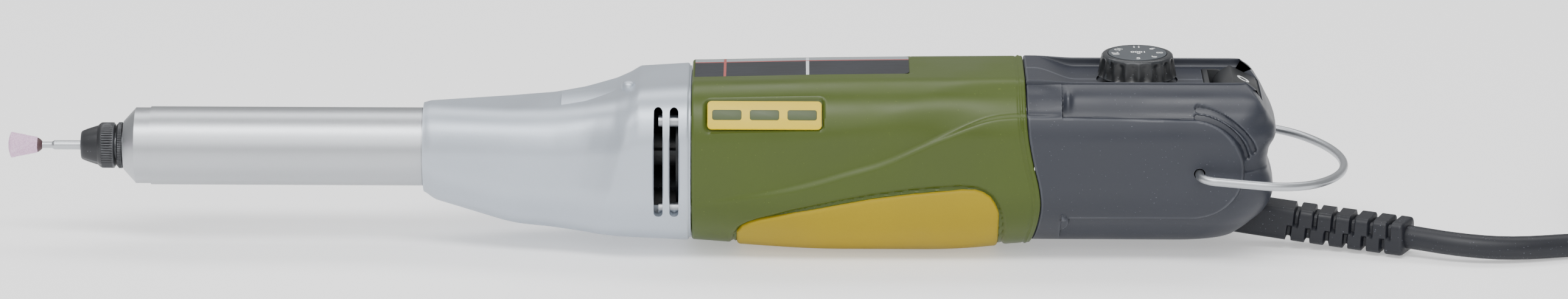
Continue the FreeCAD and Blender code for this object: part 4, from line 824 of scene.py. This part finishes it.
def make_housing():
    u = np.concatenate([np.array([0, 0.12, 0.3, 0.6, 1.0]) / 85, np.linspace(1.5, 80.0, 157) / 85,
                        1 - np.arange(19, -1, -1) * 0.24 / 85])
    nominal = HOUSING_START + 85 * u
    counts = (6, 62, 26, 42, 14)
    y, z, ny, nz = housing_sections(nominal, counts)
    seam = soft(SEAM, z, 4) - 0.12
    x = HOUSING_START + (seam - HOUSING_START) * u[:, None]
    s = round_the_belly(z)
    s = np.where(ny == 0, np.where(z < 0, np.abs(y), 80), s)
    front, back = x - HOUSING_START, seam - x
    push = -0.6 * (1 - np.sqrt(np.clip(1 - (1 - np.clip(front / 0.7, 0, 1)) ** 2, 0, 1)))
    push += -0.35 * (1 - np.sqrt(np.clip(1 - (1 - np.clip(back / 0.45, 0, 1)) ** 2, 0, 1)))
    push += ridge_fold(x, z) * smooth_step(-ny, 0.15, 0.5)
    push += 0.22 * bell(back - 1.25, 0.28) - 0.16 * bell(back - 1.85, 0.3)
    closed = np.concatenate([PAD_OUTLINE, PAD_OUTLINE[::-1] * np.array([1, -1])])
    distance = outline_distance(x, s, closed)
    push += -0.75 * bell(distance - 0.55, 0.5) - 1.0 * smooth_step(-distance, -0.5, 1.2)
    label = np.minimum(np.minimum(x - 103.6, 158.9 - x), np.minimum(y + 6.1, 12.9 - y))
    near_push, far_push = push.copy(), push.copy()
    near_push -= 0.3 * smooth_step(label, 0, 0.35) * (nz > 0.1)
    label_far = np.minimum(np.minimum(x - 103.6, 158.9 - x), 12.9 + y)
    far_push -= 0.3 * smooth_step(label_far, 0, 0.35) * (nz > 0.1)
    slope = np.degrees(np.arctan2(nz, -ny))
    corner = 1.4
    across = np.abs(slope - 32.9) / 19.6 * 4.6
    dx = np.maximum(np.abs(x - 121.75) - (15.0 - corner), 0)
    dy = np.maximum(across - (4.55 - corner), 0)
    in_badge = smooth_step(corner - np.hypot(dx, dy), -0.15, 0.3) * (nz > 0.05)
    facet = 12.30 / np.cos(np.radians(np.clip(slope - 32.9, -25, 25))) - TOP_RADIUS
    near_push += in_badge * facet
    near = np.stack([x, y + near_push * ny, z + near_push * nz], 2)
    far = np.stack([x, -(y + far_push * ny), z + far_push * nz], 2)[:, -2:0:-1]
    outer = np.concatenate([near, far], 1)
    cx = np.array([103.3, 108.0, 120.0, 150.0, 187.3])
    iy, iz, _, _ = half_profile(np.full(5, 20.6), np.interp(cx, *zip(*HOUSING_TOP)) - 2.6,
                                np.interp(cx, *zip(*HOUSING_BOTTOM)) - 3.0, np.full(5, 11.1), np.full(5, 17.0), counts)
    inner = whole_ring(cx[:, None] + 0 * iz, iy, iz)
    housing = ring_shell("olive_housing", outer, inner, "housing", "olive_plastic", sharp_angle=50)
    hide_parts("motor_housing")


def make_grip():
    x = np.concatenate([np.linspace(114.75, 118, 14), np.linspace(118.6, 174, 96), np.linspace(174.4, 181.15, 26)])
    edge = np.interp(x, PAD_OUTLINE[:, 0], PAD_OUTLINE[:, 1]) - 0.30
    end = np.minimum(x - 114.75, 181.15 - x)
    v = np.linspace(-1, 1, 221)
    s = edge[:, None] * v[None, :]
    stations = x[:, None] + 0 * s
    bottom = soft(HOUSING_BOTTOM, x, 14)[:, None]
    a = np.clip((np.abs(s) - 3) / 20, 0, math.pi / 2)
    straight = np.maximum(np.abs(s) - 3 - 10 * math.pi, 0)
    y = -np.sign(s) * np.where(np.abs(s) < 3, np.abs(s), 3 + 20 * np.sin(a))
    z = -bottom + 20 - 20 * np.cos(a) + straight
    ny, nz = -np.sign(s) * np.sin(a), -np.cos(a)
    border = np.minimum((edge[:, None] - np.abs(s)), end[:, None])
    rise = 0.35 - 0.9 * (1 - np.sqrt(np.clip(1 - (1 - np.clip(border / 1.0, 0, 1)) ** 2, 0, 1)))
    crown = np.interp(np.abs(z), (0, 16, 25), (0, 0, 0.1))
    outer = np.stack([stations, y + (rise - crown) * ny, z + (rise - crown) * nz], 2)
    inner = np.stack([stations, y - 1.5 * ny, z - 1.5 * nz], 2)
    grip = slab("belly_pad", outer, inner, "housing", "mustard_grip", sharp_angle=50)
    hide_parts("grip_pad")


def top_height(x, y):
    top = soft(HOUSING_TOP, x, 12)
    beyond = np.maximum(np.abs(y) - (HOUSING_HALF - TOP_RADIUS), 0)
    return top - TOP_RADIUS + np.sqrt(TOP_RADIUS ** 2 - beyond ** 2)


def make_label():
    x = np.concatenate([np.linspace(104.0, 156.4, 60), 156.4 + 2 * np.sin(np.linspace(0, math.pi / 2, 9))[1:]])
    inset = np.where(x > 156.4, 2 - np.sqrt(np.clip(4 - (x - 156.4) ** 2, 0, None)), 0)
    t = np.linspace(0, 1, 40)
    y = (-5.75 + inset)[:, None] + (18.3 - 2 * inset)[:, None] * t[None, :]
    stations = x[:, None] + 0 * y
    z = top_height(stations, y)
    ny = np.sign(y) * np.maximum(np.abs(y) - 9.5, 0) / TOP_RADIUS
    nz = np.sqrt(1 - ny ** 2)
    outer = np.stack([stations, y - 0.08 * ny, z - 0.08 * nz], 2)
    inner = np.stack([stations, y - 0.6 * ny, z - 0.6 * nz], 2)
    label = slab("top_label", outer, inner, "housing", "black_label")
    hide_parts("rating_label")


def plate(name, outline, thickness, place, slot, bevel, material=None):
    """A thin bevelled plate from an outline in its own XY plane."""
    points, faces = prism(name, outline, 0, thickness, "z")
    thing = make_object(name, points, faces, "housing", slot, material=material, smooth=False)
    edges = thing.modifiers.new("edges", "BEVEL")
    edges.width, edges.segments, edges.limit_method = bevel * MM, 2, "ANGLE"
    thing.data.transform(place)
    apply_modifiers(thing)
    resharpen(thing, 40)
    return thing


def badge_frame(out):
    """Placement on the badge's facet: x along the tool, y up the slope, z outwards."""
    a = math.radians(32.9)
    centre = Vector((121.75, -9.5 - 12.30 * math.cos(a), 20.7 - TOP_RADIUS + 12.30 * math.sin(a)))
    outwards = Vector((0, -math.cos(a), math.sin(a)))
    upwards = Vector((0, math.sin(a), math.cos(a)))
    turn = Matrix((Vector((1, 0, 0)), upwards, outwards)).transposed().to_4x4()
    return Matrix.Translation((centre + outwards * out) * MM) @ turn


def make_badge():
    badge = plate("badge", rounded_rectangle(28.9, 7.5, 1.1), 0.75, badge_frame(-0.1), "yellow_plate", 0.22)
    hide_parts("badge_plate")
    for number, middle in enumerate((-9.5, 0.0, 9.5)):
        dash = rounded_rectangle(7.4, 2.7, 0.6, 4, (middle, 0))
        plate(f"badge_mark_{number}", dash, 0.35, badge_frame(0.42), "yellow_plate", 0.1, DARK_GREEN)


make_housing()
make_grip()
make_label()
make_badge()


# ---------------------------------------------------------------- slate rear housing
TAIL = ((-22.4, 231.5), (-20.6, 240), (-17.5, 244.6), (-13.5, 248.3), (-10, 250.2), (-7, 250.9), (-4.2, 250.6),
        (-1.2, 249.4), (1.6, 249.1), (4.8, 249.6), (7.5, 251.2), (10, 251.2), (12.5, 250.0), (15.6, 248.5),
        (18, 246.8), (19.8, 244.9), (21.2, 242.9), (24, 239))
REAR_HALF, REAR_BOTTOM, RIM_Y, RIM_Z, DECK_Z = 23.0, 22.2, -12.4, 21.05, 18.6
PLATEAU_X, PLATEAU_Z, PLATEAU_R = 229.3, 0.45, 13.0
STEP_X = 196.8
CAP_ROW = 213  # stations up to here run along the tool, the rest close its flat end
ROCKER_AT, ROCKER_SLOPE = Vector((239.6, 0, 20.4)), math.radians(27)


def plateau_distance(x, z):
    """Distance outside the raised flank panel, a long tongue with a round end."""
    rows = x - 197
    middle = np.where(x < PLATEAU_X, PLATEAU_Z - 0.006 * (x - PLATEAU_X), PLATEAU_Z)
    radius = PLATEAU_R + np.where(x < PLATEAU_X, -0.010 * (x - PLATEAU_X), 0) + 0 * rows
    beyond = np.maximum(x - PLATEAU_X, 0)
    return np.hypot(beyond, z - middle) - radius


def arc_groove(x, z, radius, low, high, width):
    """A round-ended groove along an arc about the panel's end."""
    dx, dz = x - PLATEAU_X, z - PLATEAU_Z
    angle = np.clip(np.degrees(np.arctan2(dz, dx)), low, high)
    cx, cz = radius * np.cos(np.radians(angle)), radius * np.sin(np.radians(angle))
    return 1 - smooth_step(np.hypot(dx - cx, dz - cz), width * 0.34, width * 0.62)


def flank_push(x, z, ny):
    distance = plateau_distance(x, z)
    flank = smooth_step(-ny, 0.05, 0.45)
    channel = smooth_step(distance, 0.0, 0.9)
    upper = z > 0
    behind = smooth_step(x, STEP_X - 0.12, STEP_X + 0.12)
    near_rim = 1 - smooth_step(z, 15.5, 20.6) * 0.75
    deep = np.where(upper, 1.9 * near_rim, 1.35 * (1 - smooth_step(-z, 16, 21.5)))
    push = -deep * channel * behind
    push += -0.4 * smooth_step(distance, 0.0, 2.4) * (1 - smooth_step(distance, 3, 9)) * (1 - behind) * upper
    push += -0.75 * arc_groove(x, z, PLATEAU_R + 1.5, 13, 84, 1.35)
    push += -0.75 * arc_groove(x, z, PLATEAU_R + 3.5, 16, 84, 1.45)
    push += 0.9 * bell(np.hypot((x - 198.3) / 0.9, (z - 18.3) / 1.7), 1.0) * behind
    boss = np.hypot(np.maximum(x - 196.8, 0) / 2.3, (z + 14.5) / 2.9)
    push += 0.95 * (1 - smooth_step(boss, 0.8, 1.02)) * behind
    crease = np.abs((x - 241.0) * 0.64 + (z + 7.5) * -0.77)
    push += -0.25 * bell(crease, 0.5) * bell(np.hypot(x - 240.4, z + 7.0), 3.0)
    return push * flank


def rear_half():
    """Outer and inner grids of the near half, from the bottom centre up the flank, over the rim and along the deck."""
    counts = (5, 58, 30, 46)
    top_arc_end = math.acos((-RIM_Y - 9.5) / TOP_RADIUS)
    flat = np.linspace(0, 3, counts[0], endpoint=False)
    a = np.linspace(0, math.pi / 2, counts[1], endpoint=False)
    low_straight = np.linspace(-REAR_BOTTOM + 20, 7.55, counts[2], endpoint=False)
    b = np.linspace(0, top_arc_end, counts[3])
    rim_points = [(RIM_Y + 0.12, RIM_Z - 0.02), (RIM_Y + 0.25, RIM_Z - 0.1), (RIM_Y + 0.34, RIM_Z - 0.28)]
    wall_points = [(RIM_Y + 0.38, RIM_Z - 0.7), (RIM_Y + 0.44, RIM_Z - 1.3), (RIM_Y + 0.52, RIM_Z - 1.85),
                   (RIM_Y + 0.75, RIM_Z - 2.2), (RIM_Y + 1.15, DECK_Z + 0.05), (RIM_Y + 1.6, DECK_Z)]
    deck_y = np.linspace(RIM_Y + 2.2, 0, 18)
    y = np.concatenate([-flat, -3 - 20 * np.sin(a), np.full(counts[2], -23.0), -9.5 - 13.5 * np.cos(b),
                        [p[0] for p in rim_points + wall_points], deck_y])
    z = np.concatenate([np.full(counts[0], -REAR_BOTTOM), -REAR_BOTTOM + 20 - 20 * np.cos(a), low_straight,
                        7.55 + 13.5 * np.sin(b), [p[1] for p in rim_points + wall_points], np.full(18, DECK_Z)])
    ny = np.concatenate([np.zeros(counts[0]), -np.sin(a), np.full(counts[2], -1.0), -np.cos(b), np.zeros(27)])
    nz = np.concatenate([np.full(counts[0], -1.0), -np.cos(a), np.zeros(counts[2]), np.sin(b), np.ones(27)])
    inner_top = 16.4
    c_end = math.asin((inner_top - 7.9) / 11.1)
    c = np.linspace(0, c_end, counts[3], endpoint=False)
    rest = np.linspace(-9.5 - 11.1 * math.cos(c_end), 0, 27)
    iy = np.concatenate([-flat, -3 - 17.6 * np.sin(a), np.full(counts[2], -20.6), -9.5 - 11.1 * np.cos(c), rest])
    iz = np.concatenate([np.full(counts[0], -19.8), -19.8 + 17.6 - 17.6 * np.cos(a), np.clip(low_straight, -2.2, 7.9),
                         7.9 + 11.1 * np.sin(c), np.full(27, inner_top)])
    share = np.concatenate([np.linspace(0, 0.105, 22, endpoint=False), np.linspace(0.105, 0.19, 34, endpoint=False),
                            np.linspace(0.19, 0.55, 56, endpoint=False), np.linspace(0.55, 0.80, 46, endpoint=False),
                            0.97 - 0.17 * np.cos(np.linspace(0, math.pi / 2, 56)), np.linspace(0.973, 1, 10)])
    start, end = soft(SEAM, z, 4) + 0.04, soft(TAIL, z, 1.6)
    whole = np.clip(share / share[CAP_ROW], 0, 1)
    x = start[None, :] + (end - start)[None, :] * whole[:, None]
    ramp = (1 - smooth_step(x, 190.0, 201.0)) * (z > DECK_Z - 0.5)[None, :] * (np.arange(len(z)) > 138)[None, :]
    zz = z[None, :] + ramp * np.maximum(21.55 - z[None, :], 0)
    push = flank_push(x, zz, ny[None, :] + 0 * x) + ridge_fold(x, zz) * (1 - smooth_step(x, 190, 200)) * smooth_step(-ny, 0.15, 0.5)[None, :]
    push += -0.35 * (1 - np.sqrt(np.clip(1 - (1 - np.clip((x - start[None, :]) / 0.45, 0, 1)) ** 2, 0, 1)))
    upper_part = smooth_step(z, 11, 19)
    reach = 10.0 - 6.5 * upper_part
    t = np.clip((x - (end - reach)[None, :]) / reach[None, :], 0, 1)
    close = 1 - (0.42 - 0.38 * upper_part)[None, :] * (1 - np.sqrt(1 - t ** 2))
    rows = np.arange(len(share))
    cap = np.clip((rows - CAP_ROW) / (len(share) - 1 - CAP_ROW), 0, 1)[:, None]
    close = close * (1 - cap)
    x = x + 0.35 * np.sin(cap * math.pi / 2)
    outer = np.stack([x, (y[None, :] + push * ny[None, :]) * close, zz + push * nz[None, :]], 2)
    inner_end = end - 2.6
    ix = start[None, :] + (inner_end - start)[None, :] * whole[:, None]
    t = np.clip((ix - (inner_end - 9)[None, :]) / 9, 0, 1)
    shrink = np.minimum((1 - t ** 2.7) ** (1 / 2.7), 1 - cap)
    inner = np.stack([ix, iy[None, :] * shrink, iz[None, :] + 0 * ix], 2)
    return outer, inner


def half_shell(name, outer, inner, side):
    loop = np.concatenate([outer, inner[:, ::-1]], 1)
    loop = loop.copy()
    loop[..., 1] = np.minimum(loop[..., 1], -0.03)
    if side > 0:
        loop[..., 1] *= -1
    rows, columns = loop.shape[:2]
    count = outer.shape[1]
    faces = grid_faces(rows, columns)
    for row in (0, rows - 1):
        base = row * columns
        for j in range(count - 1):
            faces.append([base + j, base + j + 1, base + columns - 2 - j, base + columns - 1 - j])
    return make_object(name, loop.reshape(-1, 3), faces, "housing", "slate_plastic", sharp_angle=50)


def rocker_place():
    return Matrix.Translation(ROCKER_AT * MM) @ Matrix.Rotation(ROCKER_SLOPE, 4, "Y")


def block(name, low, high):
    outline = [(low[0], low[1]), (high[0], low[1]), (high[0], high[1]), (low[0], high[1])]
    return prism(name, outline, low[2], high[2], "z")


def make_rear():
    outer, inner = rear_half()
    for name, side, node in (("rear_shell_near", -1, "rear_housing_left"), ("rear_shell_far", 1, "rear_housing_right")):
        shell = half_shell(name, outer, inner, side)
        boolean(shell, loose("dial_well", *prism("w", circle_outline(216.4, 0, 10.35, 72), 18.0, 30, "z")))
        well = loose("switch_well", *block("b", (-4.95, -10.1, -13), (9.4, 10.1, 8)))
        well.data.transform(rocker_place())
        boolean(shell, well)
        boolean(shell, loose("stem_hole", *prism("s", circle_outline(216.4, 0, 3.1, 32), 10, 19, "z")))
        boolean(shell, loose("bail_hole", *prism("h", circle_outline(231.5, 0, 1.45, 32), side * 30, side * 15, "y")))
        exit_low = [(225, -21.0), (251, -24.6), (255, -24.6), (255, -11.8), (225, -9.0)]
        boolean(shell, loose("boot_exit", *prism("e", exit_low, -5.2, 5.2, "y")))
        if side > 0:
            for x, z in ((193.6, -14.6), (193.6, 11.4), (245.4, 4.0)):
                boolean(shell, loose("screw_well", *prism("c", circle_outline(x, z, 2.7, 40), 17.0, 30, "y")))
        resharpen(shell, 40)
        finish(shell, "slate_plastic")
        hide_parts(node)


make_rear()


# ---------------------------------------------------------------- speed dial
DIAL_X, DIAL_LOW, DIAL_HIGH = 216.4, 18.75, 24.6


def make_dial():
    count, ribs = 324, 18
    a = np.linspace(0, 2 * math.pi, count, endpoint=False)
    flute = (0.5 + 0.5 * np.cos(ribs * a)) ** 0.8
    profile = [(3.0, 14.6, 0), (3.0, 18.8, 0), (9.6, 18.8, 0), (9.95, 18.85, 0), (10.05, 19.05, 0.1), (10.0, 19.3, 0.45),
               (9.9, 19.8, 0.8), (9.75, 20.8, 1), (9.6, 21.8, 1), (9.45, 22.7, 0.95), (9.35, 23.2, 0.7), (9.25, 23.7, 0.35),
               (9.1, 24.1, 0.1), (8.8, 24.42, 0), (8.3, 24.6, 0), (7.9, 24.62, 0), (7.6, 24.55, 0), (7.5, 24.35, 0),
               (7.45, 24.3, 0)]
    profile = [(r, z + 0.9 * float(smooth_step(z, 17.9, 18.8)), depth) for r, z, depth in profile]
    rings = np.array([[((r - 0.62 * depth * f) * math.cos(t) + DIAL_X, (r - 0.62 * depth * f) * math.sin(t), z)
                       for t, f in zip(a, flute)] for r, z, depth in profile])
    dial = solid_tube("dial_knob", rings, "dial_unit", "black_plastic", sharp_angle=40)
    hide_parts("speed_dial")
    face = plate("dial_disc", circle_outline(DIAL_X, 0, 7.42, 96), 0.42, Matrix.Translation((0, 0, 25.18 * MM)),
                 "dial_print", 0.06)
    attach(face, "dial_unit")
    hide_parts("dial_face")
    numbers = (("5", -90), ("6", -45), ("8", 0), ("9", 45), ("11", 90), ("15", 145), ("20", 190))
    for text, degrees in numbers:
        a = math.radians(degrees)
        make_text(f"dial_number_{text}", text, 1.75, (DIAL_X + 5.75 * math.cos(a), 5.75 * math.sin(a)), a - math.pi / 2 + math.pi)
    make_text("dial_factor", "1000", 1.45, (DIAL_X + 0.3, 0.7), math.pi)
    make_text("dial_times", "x", 1.3, (DIAL_X + 0.3, -0.9), math.pi)


def make_text(name, text, size, centre, turn):
    curve = bpy.data.curves.new(name, "FONT")
    curve.body, curve.size = text, size * MM * 1.4
    curve.align_x, curve.align_y = "CENTER", "CENTER"
    curve.extrude, curve.offset = 0.00002, 0.00003
    temporary = bpy.data.objects.new(name + "_curve", curve)
    bpy.context.scene.collection.objects.link(temporary)
    bpy.context.view_layer.update()
    graph = bpy.context.evaluated_depsgraph_get()
    mesh = bpy.data.meshes.new_from_object(temporary.evaluated_get(graph))
    bpy.data.objects.remove(temporary)
    mesh.transform(Matrix.Translation((centre[0] * MM, centre[1] * MM, 25.615 * MM)) @ Matrix.Rotation(turn, 4, "Z"))
    thing = bpy.data.objects.new(name, mesh)
    bpy.context.scene.collection.objects.link(thing)
    finish(thing, "dial_print", WHITE_PRINT)
    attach(thing, "dial_unit")


make_dial()


# ---------------------------------------------------------------- rocker switch
def make_switch():
    front = [(0.9, 0.1), (0.3, -0.7), (-0.35, -1.75), (-0.8, -2.8), (-1.1, -4.0), (-1.2, -5.4)]
    outline = [(8.4, 0.1), *front, (-0.5, -6.5), (4.15, -6.5), (8.4, -3.0)]
    points, faces = prism("rocker_body", outline, -9, 9, "y")
    rocker = make_object("rocker_cap", points, faces, "rocker_unit", "switch_black", smooth=False)
    edges = rocker.modifiers.new("edges", "BEVEL")
    edges.width, edges.segments, edges.limit_method, edges.angle_limit = 0.28 * MM, 3, "ANGLE", math.radians(25)
    rocker.data.transform(rocker_place())
    apply_modifiers(rocker)
    resharpen(rocker, 35)
    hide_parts("rocker")
    count = 64
    a = np.linspace(0, 2 * math.pi, count, endpoint=False)
    rows = [(1.05, -0.05), (1.05, 0.06), (1.7, 0.06), (1.7, -0.05)]
    rings = np.array([[(4.3 + r * math.cos(t), 0.9 + r * math.sin(t), h + 0.1) for t in a] for r, h in rows])
    mark = make_object("off_ring", rings.reshape(-1, 3), grid_faces(4, count, wrap_rows=True), "rocker_unit",
                       "switch_black", material=WHITE_PRINT)
    mark.data.transform(rocker_place())
    points, faces = block("bezel", (-4.75, -9.95, -12), (9.2, 9.95, -0.45))
    bezel = make_object("switch_bezel", points, faces, "housing", "switch_black", smooth=False)
    boolean(bezel, loose("hole", *block("o", (-3.6, -9.35, -8.5), (8.7, 9.35, 2))))
    lid = loose("lid", *prism("l", [(230, 18.85), (237.2, 18.85), (240.6, 17.6), (246, 30), (230, 30)], -12, 12, "y"))
    lid.data.transform(rocker_place().inverted())
    boolean(bezel, lid)
    edges = bezel.modifiers.new("edges", "BEVEL")
    edges.width, edges.segments, edges.limit_method = 0.18 * MM, 2, "ANGLE"
    bezel.data.transform(rocker_place())
    apply_modifiers(bezel)
    resharpen(bezel, 35)
    finish(bezel, "switch_black")
    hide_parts("switch_body")


make_switch()


# ---------------------------------------------------------------- carried-over CAD nodes and the floor
# the fan is given black plastic so the slots in the head look dark inside: painted shade in the slots; the housing
# screws are given black oxide
DARKER = {"fan": "black_plastic", "housing_screws": "black_oxide"}


def paint_nodes():
    slots = {}
    for entry in frame["record"].get("materials", []):
        for node in entry.get("nodes", []):
            slots[node] = entry["slot"]
    for name, thing in frame["nodes"].items():
        slot = slots.get(name)
        thing.data.materials.clear()
        thing.data.materials.append(MATERIALS[DARKER.get(name, slot or "zinc")])


def make_floor():
    n = Nodes("studio_floor")
    colour = n.ramp(n.noise(3, 2), [(0.3, (0.86, 0.86, 0.87)), (0.7, (0.89, 0.89, 0.89))])
    n.link(colour, n.shader.inputs["Base Color"])
    n.shader.inputs["Roughness"].default_value = 0.9
    n.shader.inputs["Specular IOR Level"].default_value = 0.1
    n.shader.inputs["Emission Color"].default_value = (1, 1, 1, 1)
    n.shader.inputs["Emission Strength"].default_value = 0.45
    mesh = bpy.data.meshes.new("floor")
    z = (FLOOR_Z - 0.05) * MM
    mesh.from_pydata([(-6, -4, z), (6, -4, z), (6, 10, z), (-6, 10, z)], [], [(0, 1, 2, 3)])
    floor = bpy.data.objects.new("floor", mesh)
    bpy.context.scene.collection.objects.link(floor)
    floor.data.materials.append(n.material)


paint_nodes()
make_floor()
